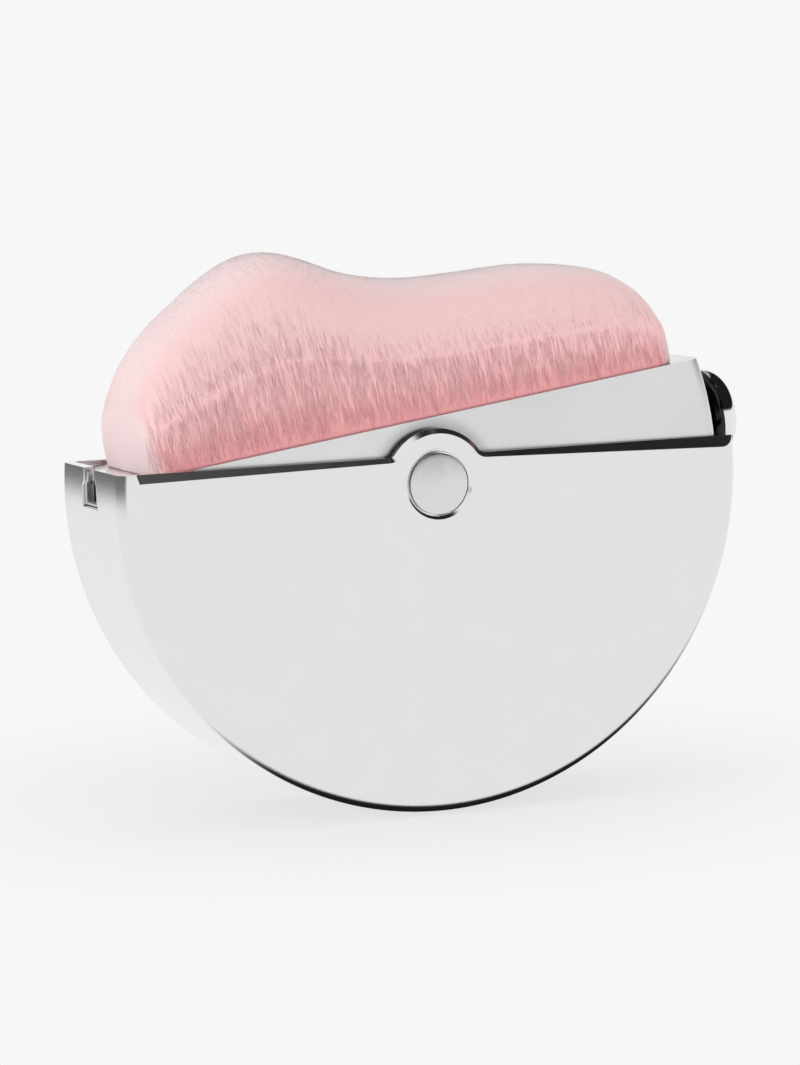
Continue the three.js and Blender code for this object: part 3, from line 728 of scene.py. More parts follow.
@dataclass
class CrossPin:
    """The post with its button head at the front, and the slotted screw that closes it."""

    half_depth: float
    pin_radius: float = 1.75 * MM
    radius: float = 3.24 * MM
    thickness: float = 0.62 * MM
    crown: float = 0.15 * MM
    edge_round: float = 0.12 * MM
    seat_depth: float = 0.75 * MM
    countersink_width: float = 0.51 * MM
    countersink_depth: float = 0.22 * MM
    screw_radius: float = 1.05 * MM
    screw_length: float = 7.5 * MM
    thread_room: float = 1 * MM
    driver_width: float = 0.8 * MM
    driver_depth: float = 0.3 * MM
    steps: int = 96
    crown_steps: int = 8
    rim_steps: int = 4

    @property
    def seat(self) -> float:
        """Where the button's underside lies along Y."""
        return -self.half_depth + self.seat_depth - SEAT

    def seat_cutter(self, side: int) -> bpy.types.Object:
        """Makes the countersunk seat and hole in one wall, as a body to cut out.

        Args:
            side: -1 for the front wall and 1 for the back one.

        Returns:
            The cutting body.
        """
        slope = (self.countersink_width - FIT) / self.countersink_depth
        outer = self.radius + self.countersink_width
        bed = -self.half_depth + self.seat_depth
        outline = [
            (outer + slope * OVERRUN, -self.half_depth - OVERRUN),
            (self.radius + FIT, -self.half_depth + self.countersink_depth),
            (self.radius + FIT, bed), (self.pin_radius + FIT, bed),
            (self.pin_radius + FIT, bed + 2 * OVERRUN),
        ]
        return turned("seat_cutter", [(r, -side * y) for r, y in outline], self.steps)

    def button_outline(self) -> list[Point]:
        """Gives a button head's outline from its crown to its underside, facing -Y."""
        face = self.seat - self.thickness
        flat = self.radius - self.edge_round
        shares = [i / self.crown_steps for i in range(1, self.crown_steps)]
        crown = [(flat * share, face - self.crown * (1 - share ** 2)) for share in shares]
        rim = arc(flat, face + self.edge_round, self.edge_round, -90, 0, self.rim_steps)
        return [*crown, *rim, (self.radius, self.seat)]

    def build(self) -> tuple[bpy.types.Object, bpy.types.Object]:
        """Models the post and the screw.

        Returns:
            The post and the screw, about the pin's axis.
        """
        end = -self.seat - 2 * SEAT
        bore = self.screw_radius + FIT
        depth = self.screw_length + self.thread_room
        post = turned("button_post", [
            *self.button_outline(), (self.pin_radius, self.seat), (self.pin_radius, end),
            (bore, end), (bore, end - depth)], self.steps)
        screw = turned("back_screw", [
            *self.button_outline(), (self.screw_radius, self.seat),
            (self.screw_radius, self.seat + self.screw_length)], self.steps)
        face = self.seat - self.thickness
        low, high = face - OVERRUN, face + self.driver_depth
        bpy.ops.mesh.primitive_cube_add(size=2, location=(0, (low + high) / 2, 0), scale=(
            self.radius + OVERRUN, (high - low) / 2, self.driver_width / 2))
        combine(screw, new_piece("driver_cutter"), Joining.CUT)
        place(screw, Matrix.Rotation(math.pi, 4, "Z"))
        for piece in (post, screw):
            polish(piece)
            place(piece, Matrix.Translation(PIVOT))
        return post, screw

    def dress(self, post: bpy.types.Object, screw: bpy.types.Object) -> None:
        """Finishes the post, the screw and the washers on the pin.

        Args:
            post: The post with the button head.
            screw: The screw at the back.
        """
        install(post, Body.CASE, BUTTON_METAL, ["pivot_post"])
        install(screw, Body.CASE, STEEL, ["pivot_screw"])
        dress_node("thrust_washer", NYLON)
        dress_node("wave_washer", SPRING_STEEL)


@dataclass
class Case:
    """The half-disc case with its ears, bevelled top edge, slot and spring clip."""

    radius: float = 35 * MM
    depth: float = 21.2 * MM
    wall: float = 1.2 * MM
    edge_round: float = 2 * MM
    top: float = 3 * MM
    ear_radius: float = 5.8 * MM
    ear_foot_round: float = 1 * MM
    bevel_at_ear: float = 0.5 * MM
    bevel_left_end: float = 0.95 * MM
    bevel_right_end: float = 1.2 * MM
    bevel_share: float = 0.84  # the bevel's depth as a share of its height
    bevel_stop: Point = (32.9 * MM, 33.25 * MM)  # the left end of the bevel, where it runs out
    slot_shoulder: float = 1.6 * MM
    slot_step: float = 0.45 * MM
    slot_bottom: float = -0.95 * MM
    clip_throat: float = 2.6 * MM
    clip_wall: float = 0.6 * MM
    clip_web: float = 0.3 * MM
    clip_step: float = 0.3 * MM
    clip_recess: float = 0.2 * MM
    slot_chamfer: float = 0.18 * MM
    clip_chamfer: float = 0.05 * MM
    crease: float = 20  # the angle in degrees from which the shell's edges stay sharp
    steps: int = 256
    round_steps: int = 12  # of each rounded edge and of the hollow beside an ear
    ear_steps: int = 72
    pin: CrossPin = field(init=False)

    def __post_init__(self) -> None:
        """Gives the pin the depth that it spans."""
        self.pin = CrossPin(self.depth / 2)

    @property
    def inner_radius(self) -> float:
        """The radius of the inside of the rim."""
        return self.radius - self.wall

    @property
    def inner_half_depth(self) -> float:
        """Half the depth of the space inside."""
        return self.depth / 2 - self.wall

    def disc(self, name: str, radius: float, half_depth: float, rounding: float) -> bpy.types.Object:
        """Turns a disc whose rim has rounded edges.

        Args:
            name: The body's name.
            radius: Its radius.
            half_depth: Half its depth.
            rounding: The radius of its rounded edges.

        Returns:
            The disc.
        """
        centre = half_depth - rounding
        rim = radius - rounding
        return turned(name, [*arc(rim, -centre, rounding, -90, 0, self.round_steps),
                             *arc(rim, centre, rounding, 0, 90, self.round_steps)], self.steps)

    def under_top_line(self) -> bpy.types.Object:
        """Makes the space under the case's top line, with the ears and the growing bevel.

        Returns:
            The body that the case is kept to.
        """
        reach = self.radius + OVERRUN
        foot_height = self.top + self.ear_foot_round
        foot_x = math.sqrt((self.ear_radius + self.ear_foot_round) ** 2 - foot_height ** 2)
        angle = math.degrees(math.atan2(foot_height, foot_x))
        up = Vector((0, 1))
        starts, stops = self.bevel_stop

        def bevel_at(x: float) -> float:
            """Gives the height of the growing bevel at a place along the top line."""
            end = self.bevel_left_end if x < 0 else self.bevel_right_end
            share = (abs(x) - foot_x) / (self.radius - foot_x)
            return self.bevel_at_ear + (end - self.bevel_at_ear) * share

        line = [(Vector((-reach, self.top)), up, -SEAT), (Vector((-stops, self.top)), up, -SEAT),
                (Vector((-starts, self.top)), up, bevel_at(-starts))]

        def foot(x: float, start: float, end: float) -> None:
            """Adds the hollow arc between the top line and an ear."""
            for point in arc(x, foot_height, self.ear_foot_round, start, end, self.round_steps):
                out = (Vector((x, foot_height)) - Vector(point)).normalized()
                line.append((Vector(point), out, self.bevel_at_ear))

        foot(-foot_x, -90, -angle)
        for point in arc(0, 0, self.ear_radius, 180 - angle, angle, self.ear_steps)[1:-1]:
            line.append((Vector(point), Vector(point).normalized(), self.bevel_at_ear))
        foot(foot_x, 180 + angle, 270)
        line.append((Vector((reach, self.top)), up, bevel_at(reach)))
        line += [(Vector((x, -reach)), Vector((0, 0)), 0.0) for x in (reach, -reach)]

        def inset(side: int) -> list[Vector]:
            """Gives the outline past one face, drawn in by the bevel."""
            y = side * (self.depth / 2 + OVERRUN)
            moved = [at - out * (bevel + OVERRUN / self.bevel_share) for at, out, bevel in line]
            return [Vector((p.x, y, p.y)) for p in moved]

        def full(side: int) -> list[Vector]:
            """Gives the whole outline, where the bevel starts."""
            depth = [self.depth / 2 - self.bevel_share * bevel for _, _, bevel in line]
            return [Vector((at.x, side * y, at.y)) for (at, _, _), y in zip(line, depth)]

        return lofted("under_top_line", [inset(-1), full(-1), full(1), inset(1)])

    def slot_body(self, name: str, throat: float, pocket: float, bottom: float, top: float,
                  span: Point) -> bpy.types.Object:
        """Makes a body of the slot's shape: a throat over a wider pocket with sloping shoulders.

        Args:
            name: The body's name.
            throat: The width of its upper part.
            pocket: The width of its lower part.
            bottom: Its lower end.
            top: Its upper end.
            span: Where it starts and ends along X.

        Returns:
            The body, in the left rim's place.
        """
        middle, half = sum(span) / 2, (span[1] - span[0]) / 2
        step = (pocket - throat) / 2
        bpy.ops.mesh.primitive_cube_add(
            size=2, location=(middle, 0, (bottom + self.slot_shoulder) / 2),
            scale=(half, pocket / 2, (self.slot_shoulder - bottom) / 2))
        piece = new_piece(name)
        with editing(piece):
            pick(piece, Part.EDGES, lambda e: min(v.co.z for v in e.verts) > self.slot_shoulder - SEAT
                 and abs((e.verts[0].co - e.verts[1].co).x) > SEAT)
            bpy.ops.mesh.bevel(offset=step, segments=1, affect="EDGES")
            pick(piece, Part.FACES, lambda f: f.normal.z > 0.9)
            rise = {"value": (0, 0, top - self.slot_shoulder)}
            bpy.ops.mesh.extrude_region_move(TRANSFORM_OT_translate=rise)
        return piece

    def build_shell(self) -> bpy.types.Object:
        """Models the case shell.

        Returns:
            The shell, about the pin.
        """
        shell = self.disc("case_body", self.radius, self.depth / 2, self.edge_round)
        combine(shell, self.under_top_line(), Joining.KEEP)
        combine(shell, self.disc("case_inside", self.inner_radius, self.inner_half_depth,
                                 self.edge_round - self.wall), Joining.CUT)
        throat = self.clip_throat + 2 * (self.clip_wall + SEAT)
        pocket = throat + 2 * self.slot_step
        outside, inside = -self.radius, -self.inner_radius
        above = self.top + OVERRUN
        combine(shell, self.slot_body("slot_cutter", throat, pocket, self.slot_bottom, above,
                                      (outside - OVERRUN, inside + OVERRUN)), Joining.CUT)
        flare = self.slot_body("slot_flare", throat, pocket, self.slot_bottom, above,
                               (outside - self.slot_chamfer, outside + self.slot_chamfer))
        with editing(flare):
            pick(flare, Part.FACES, lambda f: f.normal.x < -0.9)
            middle = (self.slot_bottom + above) / 2
            # The flare is two chamfers deep, so its outer face is two chamfers wider on each side.
            wide = 1 + 4 * self.slot_chamfer / pocket
            tall = 1 + 4 * self.slot_chamfer / (above - self.slot_bottom)
            bpy.ops.transform.resize(value=(1, wide, tall),
                                     center_override=(outside - self.slot_chamfer, 0, middle))
        combine(shell, flare, Joining.CUT)
        combine(shell, self.pin.seat_cutter(-1), Joining.CUT)
        combine(shell, self.pin.seat_cutter(1), Joining.CUT)
        polish(shell, self.crease)
        return place(shell, Matrix.Translation(PIVOT))

    def build_clip(self) -> bpy.types.Object:
        """Models the spring clip that fills the slot.

        Returns:
            The clip, in the left rim.
        """
        foot = self.slot_bottom + SEAT
        throat = self.clip_throat + 2 * self.clip_wall
        start = -self.radius + self.clip_recess
        end = -self.inner_radius - self.clip_recess
        clip = self.slot_body("stud_clip", throat, throat + 2 * self.slot_step, foot,
                              self.top - SEAT, (start, end))
        pocket = self.clip_throat + 2 * self.clip_step
        combine(clip, self.slot_body("clip_cutter", self.clip_throat, pocket, foot + self.clip_web,
                                     self.top + OVERRUN, (start - OVERRUN, end + OVERRUN)), Joining.CUT)
        choose(clip)
        bpy.ops.object.modifier_add(type="BEVEL")
        bevel = clip.modifiers[-1]
        bevel.width = self.clip_chamfer
        bevel.segments = 2
        bpy.ops.object.modifier_apply(modifier=bevel.name)
        polish(clip)
        return place(clip, Matrix.Translation(PIVOT))

    def assemble(self) -> None:
        """Builds and dresses the case, its clip and its pin."""
        install(self.build_shell(), Body.CASE, CASE_METAL, ["case_shell"])
        install(self.build_clip(), Body.CASE, SPRING_STEEL, ["slot_clip"])
        self.pin.dress(*self.pin.build())


@dataclass
class ThumbKnob:
    """The domed knob and the stud that carries it."""

    case_radius: float
    block_half_length: float
    radius: float = 4.85 * MM
    neck_radius: float = 3.2 * MM
    lip: float = 1.2 * MM  # from the base out to where the knob is widest
    dome: float = 2.6 * MM
    dome_power: float = 0.86
    gap: float = 0.35 * MM
    bore_depth: float = 2.6 * MM
    stud_radius: float = 1 * MM
    stud_drop: float = 0.6 * MM
    stud_in_block: float = 5 * MM
    stud_chamfer: float = 0.15 * MM
    stud_steps: int = 48
    pole_radius: float = 0.06 * MM  # of the small flat on top of the dome
    crease: float = 40  # the angle in degrees from which the knob's edges stay sharp
    under_steps: int = 20
    dome_steps: int = 28
    steps: int = 128

    def along_head(self, piece: bpy.types.Object, seat: Matrix) -> bpy.types.Object:
        """Turns a body from the Y axis to the head's length and puts it in the head.

        Args:
            piece: A body turned about Y.
            seat: The head's place.

        Returns:
            The same piece.
        """
        lay = Matrix.Translation((0, 0, -self.stud_drop)) @ Matrix.Rotation(-math.pi / 2, 4, "Z")
        return place(piece, seat @ lay)

    def assemble(self, seat: Matrix) -> None:
        """Builds and dresses the knob and its stud.

        Args:
            seat: The head's place.
        """
        base = self.case_radius + self.gap
        widest = base + self.lip
        bore = self.stud_radius + FIT
        under, curve = [], []
        for i in range(self.under_steps):
            angle = math.radians(90 * i / self.under_steps)
            under.append((self.neck_radius + (self.radius - self.neck_radius) * math.sin(angle),
                          widest - self.lip * math.cos(angle)))
        for i in range(self.dome_steps):
            angle = math.radians(90 * i / self.dome_steps)
            curve.append((self.radius * math.cos(angle) ** self.dome_power,
                          widest + self.dome * math.sin(angle) ** self.dome_power))
        knob = turned("knob_dome", [(bore, base + self.bore_depth), (bore, base), *under, *curve,
                                    (self.pole_radius, widest + self.dome)], self.steps)
        polish(knob, self.crease)
        below = [i for i, face in enumerate(knob.data.polygons) if face.center.y < widest - SEAT]
        self.along_head(knob, seat)
        install(knob, Body.HEAD, KNOB_METAL, ["thumb_knob"])
        # The knob's faces below its widest point take the near-black colour.
        knob.data.materials.append(KNOB_BLACK.material())
        for i in below:
            knob.data.polygons[i].material_index = 1
        start = self.block_half_length - self.stud_in_block
        end = base + self.bore_depth - SEAT
        tip = self.stud_chamfer
        stud = turned("stud_bar", [
            (self.stud_radius - tip, start), (self.stud_radius, start + tip),
            (self.stud_radius, end - tip), (self.stud_radius - tip, end)], self.stud_steps)
        polish(stud)
        self.along_head(stud, seat)
        install(stud, Body.HEAD, KNOB_METAL, ["knob_stud"])


@dataclass
class Tuft:
    """The tuft: tens of thousands of single fibres over a closed core.

    Places along and across the head are shares from -1 to 1. The crown gives the height of the
    fibres' tips along the head, and the pillow rounds it from front to back.
    """

    mouth: float
    pocket: Vector
    backing_depth: float = 0.49 * MM
    backing_thickness: float = 0.8 * MM
    root_inset: float = 0.4 * MM
    corner: float = 2.6 * MM
    end_spread: float = 1.2 * MM
    side_spread: float = 0.6 * MM
    rise: float = 19.9 * MM
    spread_from: float = -0.4 * MM  # the height from which the tuft spreads over the head's mouth
    spread_to: float = 0.2 * MM
    pillow_power: float = 2.6
    front_share: float = 0.95
    fibre_pitch: float = 0.33 * MM  # between the fibre ends that show on the tuft's sides
    fibre_length: Point = (2.2 * MM, 6.4 * MM)
    fibre_width: Point = (0.08 * MM, 0.16 * MM)
    fibre_lean: float = math.radians(4)
    lean_stray: float = math.radians(2)
    flatness: float = 0.5  # how far a fibre on the sides is pressed flat
    front_from: float = 0.7  # the outline faces the front or the back from this share of its way out
    side_share: float = 0.72  # how far up the tuft the sides run, as a share of its height
    side_stray: float = 0.1  # how far fibres stray above that, as a share of the sides' height
    top_share: float = 0.86  # no fibre on the sides ends higher than this share of the tuft's height
    fade_share: float = 0.3  # over how much of the sides' height the fibres get thin at the top
    thin_share: float = 0.25  # how thin they get there
    fibre_rings: tuple[Point, ...] = ((0.15, 0.8), (0.45, 1.0), (0.75, 0.75))  # height, radius
    ring_match: float = 0.01  # how near a point lies to the ring that it belongs to
    buried: float = 0.3 * MM  # how deep in the skin a fibre starts
    buried_power: int = 4  # how fast it comes up out of the skin
    proud: Point = (-0.02 * MM, 0.09 * MM)  # how far its tip stands off the skin
    lock_size: float = 1.6 * MM
    lock_lean: float = math.radians(2)
    lock_waves: int = 14  # the waves that are added up to make the locks
    lock_form: Point = (1.6, 0.5)  # how closely the waves follow each other round the tuft and up it
    small_lock: float = 0.4  # the size of the smaller locks, as a share of the larger ones'
    nap_pitch: float = 0.13 * MM
    nap_end: Point = (1.0, 0.02)  # the share of the way to the ends where the nap stops, and its fade
    nap_front: Point = (0.95, 0.12)
    nap_height: float = 0.5 * MM
    nap_width: float = 0.1 * MM
    nap_stray: float = 0.05 * MM
    nap_lean: float = 0.05 * MM
    nap_widths: Point = (0.75, 1.25)  # between which factors the width strays
    nap_lowest: float = 2  # the nap stops where the tuft is lower than this many times its height
    slope_step: float = 0.004  # the share over which the slope is measured
    steepest: float = 4  # how many times as close as on the level the nap can get
    skin_drop: float = 0.16 * MM  # from the tips down to the skin
    skin_inset: float = 0.12 * MM  # from the tuft's sides in to the skin
    pale_and_lit_end: Point = (0.93, 0.99)  # where along the tuft the palest colour takes over at its ends: partly their pale tips, partly painted light
    columns: int = 256
    column_margin: float = 0.1  # how far inside its column of the map a fibre stays
    height_margin: float = 0.01  # how far inside 0 and 1 the map's height stays
    core_cuts: int = 63
    seed: int = 11
    crown_shares: tuple[Point, ...] = (
        (-1, 0.02), (-0.987, 0.33), (-0.89, 0.62), (-0.675, 0.86), (-0.53, 0.97), (-0.418, 1),
        (-0.306, 0.96), (-0.1, 0.8), (0.1, 0.715), (0.306, 0.683), (0.572, 0.655), (0.797, 0.575),
        (0.91, 0.48), (0.97, 0.34), (1, 0.02),
    )
    slices: tuple[str, ...] = (
        "bristles_left_end", "bristles_left", "bristles_right", "bristles_right_end")

    @property
    def root_half(self) -> Vector:
        """Half the length and width of the field of roots."""
        return Vector((self.pocket[0] - self.root_inset, self.pocket[1] - self.root_inset))

    @property
    def tip_half(self) -> Vector:
        """Half the length and width of the spread tuft."""
        return Vector((self.pocket[0] + self.end_spread, self.pocket[1] + self.side_spread))

    def crown(self, along: np.ndarray) -> np.ndarray:
        """Gives the height of the tuft's top line, as a smooth curve through the crown's points.

        Args:
            along: Places along the head, as shares.

        Returns:
            Heights above the mouth.
        """
        place_at, height = np.array(self.crown_shares).T
        last = len(place_at) - 1
        before = np.maximum(np.arange(last + 1) - 1, 0)
        after = np.minimum(np.arange(last + 1) + 1, last)
        slope = (height[after] - height[before]) / (place_at[after] - place_at[before])
        k = np.clip(np.searchsorted(place_at, along, side="right") - 1, 0, last - 1)
        width = place_at[k + 1] - place_at[k]
        t = (along - place_at[k]) / width
        value = (height[k] * (1 + 2 * t) * (1 - t) ** 2 + height[k + 1] * t * t * (3 - 2 * t)
                 + width * (slope[k] * t * (1 - t) ** 2 - slope[k + 1] * t * t * (1 - t)))
        return self.rise * value

    def tip_height(self, along: np.ndarray, across: np.ndarray) -> np.ndarray:
        """Gives the height of the fibres' tips above the mouth.

        Args:
            along: Places along the head, as shares.
            across: Places across it, as shares.

        Returns:
            Heights above the mouth.
        """
        pillow = (1 - np.abs(across * self.front_share) ** self.pillow_power) ** (1 / self.pillow_power)
        return self.crown(along) * pillow

    def spread(self, height: np.ndarray) -> np.ndarray:
        """Gives how much of its spread the tuft has reached at a height above the mouth."""
        rising = (height - self.spread_from) / (self.spread_to - self.spread_from)
        return np.sin(np.pi / 2 * np.clip(rising, 0, 1))

    def in_corners(self, spots: np.ndarray) -> np.ndarray:
        """Says which spots lie inside the pocket's round corners.

        Args:
            spots: Places along and across the head, as shares.

        Returns:
            True for each spot that is kept.
        """
        half = np.array(self.root_half)
        past = np.maximum(np.abs(spots) * half - (half - self.corner), 0)
        return np.hypot(*past.T) <= self.corner

    def outline_spots(self, walk: np.ndarray) -> tuple[np.ndarray, np.ndarray]:
        """Finds spots on the tuft's outline, which runs round between four round corners.

        Args:
            walk: How far round the outline each spot lies, from 0 to 1.

        Returns:
            Each spot's place in the field between the corners' centres, as shares, and the way
            out from there.
        """
        sides = np.array(self.root_half) - self.corner
        bend = math.pi / 2 * self.corner
        lengths = np.array([2 * sides[0], bend, 2 * sides[1], bend] * 2)
        stops = np.concatenate([[0], np.cumsum(lengths)])
        k = np.clip(np.searchsorted(stops, walk * stops[-1], side="right") - 1, 0, 7)
        part = (walk * stops[-1] - stops[k]) / lengths[k]
        angle = np.radians(-90 + 90 * (k // 2) + np.where(k % 2, part * 90, 0))
        start = np.array([[-1, -1], [1, -1], [1, -1], [1, 1], [1, 1], [-1, 1], [-1, 1], [-1, -1]])[k]
        slide = np.array([[2, 0], [0, 0], [0, 2], [0, 0], [-2, 0], [0, 0], [0, -2], [0, 0]])[k]
        return start + slide * part[:, None], np.stack([np.cos(angle), np.sin(angle)], -1)

    def nap_spots(self, random: np.random.Generator) -> np.ndarray:
        """Scatters the tips of the nap over the tuft's top, closer where the top is steep.

        Args:
            random: The tuft's own source of chance.

        Returns:
            Places along and across the head, as shares.
        """
        half = np.array(self.tip_half)
        fine = self.nap_pitch / 2
        counts = [int(2 * side / fine) for side in half]
        grid = np.stack(np.meshgrid(*(np.arange(n) for n in counts), indexing="ij"), -1).reshape(-1, 2)
        spots = (grid + random.uniform(0, 1, grid.shape)) / counts * 2 - 1
        step = self.slope_step
        along, across = spots.T * (1 - step)
        rise_along = (self.tip_height(along + step, across) - self.tip_height(along - step, across))
        rise_across = (self.tip_height(along, across + step) - self.tip_height(along, across - step))
        slope = np.hypot(rise_along / (2 * step * half[0]), rise_across / (2 * step * half[1]))
        closeness = np.minimum(np.hypot(1, slope), self.steepest)
        keep = random.uniform(0, self.steepest, len(spots)) < closeness
        for side, (start, fade) in enumerate((self.nap_end, self.nap_front)):
            keep &= np.abs(spots[:, side]) < start - random.exponential(fade, len(spots))
        keep &= self.tip_height(*spots.T) > self.nap_lowest * self.nap_height
        return spots[keep & self.in_corners(spots)]

    def needle(self, rings: Sequence[Point]) -> tuple[np.ndarray, list[tuple[int, ...]]]:
        """Models one fibre: a three-sided needle, ringed by bisecting planes.

        Args:
            rings: The height and the radius of each ring, as shares.

        Returns:
            Its points, with Z from 0 at the root to 1 at the tip and a radius of 1 at the root,
            and its faces.
        """
        bpy.ops.mesh.primitive_cone_add(vertices=3, radius1=1, radius2=0, depth=1,
                                        location=(0, 0, 0.5), end_fill_type="NGON")
        needle = new_piece("needle")
        with editing(needle):
            for height, _ in rings:
                bpy.ops.mesh.select_all(action="SELECT")
                bpy.ops.mesh.bisect(plane_co=(0, 0, height), plane_no=(0, 0, 1))
        points = np.array([v.co for v in needle.data.vertices])
        faces = [tuple(p.vertices) for p in needle.data.polygons]
        for height, radius in rings:
            ring = np.abs(points[:, 2] - height) < self.ring_match
            points[ring, :2] *= radius / np.linalg.norm(points[ring, :2], axis=1)[:, None]
        bpy.data.meshes.remove(needle.data)
        return points, faces

    def locks(self, spots: np.ndarray, random: np.random.Generator) -> np.ndarray:
        """Gathers neighbouring fibres into soft locks that lean alike.

        Args:
            spots: Places round the tuft and up it, in metres.
            random: The tuft's own source of chance.

        Returns:
            Each fibre's lean, in radians.
        """
        lean = np.zeros(len(spots))
        for size in (self.lock_size, self.lock_size * self.small_lock):
            waves = random.uniform(-1, 1, (self.lock_waves, 2)) / size * np.pi * self.lock_form
            turn = random.uniform(0, 2 * np.pi, self.lock_waves)
            lean += np.sin(spots @ waves.T + turn).sum(1) / math.sqrt(self.lock_waves)
        return lean * self.lock_lean

    def stand(self, centres: np.ndarray, width: np.ndarray, points: np.ndarray,
              random: np.random.Generator, out: np.ndarray | None = None) -> np.ndarray:
        """Puts the points of a needle round each copy's centre line, turned at random.

        Args:
            centres: The centre line at each of the needle's points, for every copy.
            width: Each copy's width.
            points: One needle's points.
            random: The tuft's own source of chance.
            out: The way out of the tuft at each copy, if the copies are pressed flat on it.

        Returns:
            The points of every copy.
        """
        turn = random.uniform(0, 2 * np.pi, len(width))[:, None] + np.arctan2(points[:, 1], points[:, 0])
        radius = np.hypot(points[:, 0], points[:, 1]) * width[:, None] / 2
        ring = np.stack([np.cos(turn) * radius, np.sin(turn) * radius], -1)
        if out is not None:
            ring -= self.flatness * out[:, None] * (ring * out[:, None]).sum(-1, keepdims=True)
        return centres + np.pad(ring, ((0, 0), (0, 0), (0, 1)))

    def side_fibres(self, points: np.ndarray, random: np.random.Generator) -> np.ndarray:
        """Lays the fibre ends that show on the tuft's sides over the skin, like thatch.

        Args:
            points: One fibre's points.
            random: The tuft's own source of chance.

        Returns:
            The points of every copy.
        """
        half, wide = np.array(self.root_half), np.array(self.tip_half)
        round_about = 4 * half.sum()
        high = self.rise * self.side_share
        count = int(round_about * high / self.fibre_pitch ** 2)
        walk = (np.arange(count) + random.uniform(0, 1, count)) / count
        core, out = self.outline_spots(walk)
        shares = np.clip((core * (half - self.corner) + out * self.corner) / half, -1, 1)
        crown = self.crown(shares[:, 0])
        on_side = np.abs(out[:, 1]) > self.front_from
        highest = crown * self.top_share - self.skin_drop
        edge_top = np.minimum(self.tip_height(*shares.T) - self.skin_drop, highest)
        limit = np.where(on_side, crown * self.side_share - self.skin_drop, edge_top)
        length = random.uniform(*self.fibre_length, count)
        top = random.uniform(0, 1, count) * high + length / 2
        stray = random.exponential(self.side_stray, count) * high * on_side
        wanted = top < np.minimum(limit + stray, highest)
        core, out, crown, length, top, limit = (a[wanted] for a in (core, out, crown, length, top, limit))
        count = len(top)
        fade = np.clip((limit - top) / (self.fade_share * high), self.thin_share, 1)
        along = points[:, 2]
        above = top[:, None] - length[:, None] * (1 - along)
        spot = np.stack([walk[wanted] * round_about, top], -1)
        lean = self.locks(spot, random) + random.normal(0, self.lean_stray, count)
        reach = half - self.skin_inset + (wide - half) * self.spread(above)[..., None]
        flat = core[:, None] * (reach - self.corner) + out[:, None] * self.corner
        level = np.clip((above + self.skin_drop) / crown[:, None], 0, 0.999)
        drawn_in = (1 - level ** self.pillow_power) ** (1 / self.pillow_power) / self.front_share
        flat[..., 1] = np.sign(flat[..., 1]) * np.minimum(np.abs(flat[..., 1]), reach[..., 1] * drawn_in)
        proud = random.uniform(*self.proud, count) * fade
        off = proud[:, None] * along - self.buried * (1 - along) ** self.buried_power
        flat += out[:, None] * off[..., None]
        half_way = length[:, None] * (along - 0.5)
        flat[..., 0] -= math.tan(self.fibre_lean) * half_way * np.abs(out[:, 1, None])
        flat += np.stack([-out[:, 1], out[:, 0]], -1)[:, None] * (np.tan(lean)[:, None] * half_way)[..., None]
        centres = np.concatenate([flat, above[..., None] + self.mouth], -1)
        return self.stand(centres, random.uniform(*self.fibre_width, count) * fade, points, random, out)

    def nap(self, points: np.ndarray, random: np.random.Generator) -> np.ndarray:
        """Stands copies of a short needle all over the tuft's top.

        Args:
            points: One needle's points.
            random: The tuft's own source of chance.

        Returns:
            The points of every copy.
        """
        shares = self.nap_spots(random)
        count = len(shares)
        half, wide = np.array(self.root_half), np.array(self.tip_half)
        tip = self.tip_height(shares[:, 0], shares[:, 1]) - np.abs(random.normal(0, self.nap_stray, count))
        plan = half - self.skin_inset + (wide - half) * self.spread(tip)[:, None] - self.nap_width
        spots = shares * plan
        lean = random.normal(0, self.nap_lean, (count, 2))
        along = points[:, 2]
        centres = np.empty((count, len(points), 3))
        centres[..., :2] = spots[:, None, :] + lean[:, None, :] * along[None, :, None]
        centres[..., 2] = self.mouth + tip[:, None] - self.nap_height * (1 - along[None, :])
        width = self.nap_width * random.uniform(*self.nap_widths, count)
        return self.stand(centres, width, points, random)

    def build_slices(self, seat: Matrix) -> list[bpy.types.Object]:
        """Copies the fibres over the whole tuft, one piece for each slice.

        Args:
            seat: The head's place.

        Returns:
            The four pieces.
        """
        random = np.random.default_rng(self.seed)
        edges = np.linspace(-1, 1, len(self.slices) + 1)[1:-1] * self.tip_half[0]
        kinds = []
        for rings, grow in ((self.fibre_rings, self.side_fibres), ((), self.nap)):
            points, faces = self.needle(rings)
            places = grow(points, random)
            owner = np.searchsorted(edges, places[:, 0, 0])
            kinds.append((places, faces, random.integers(0, self.columns, len(places)), owner))
        pieces = []
        for index, node in enumerate(self.slices):
            parts = [(places[owner == index], faces, number[owner == index])
                     for places, faces, number, owner in kinds]
            pieces.append(self.copy_needles(node.replace("bristles", "fibres"), parts, seat))
        return pieces

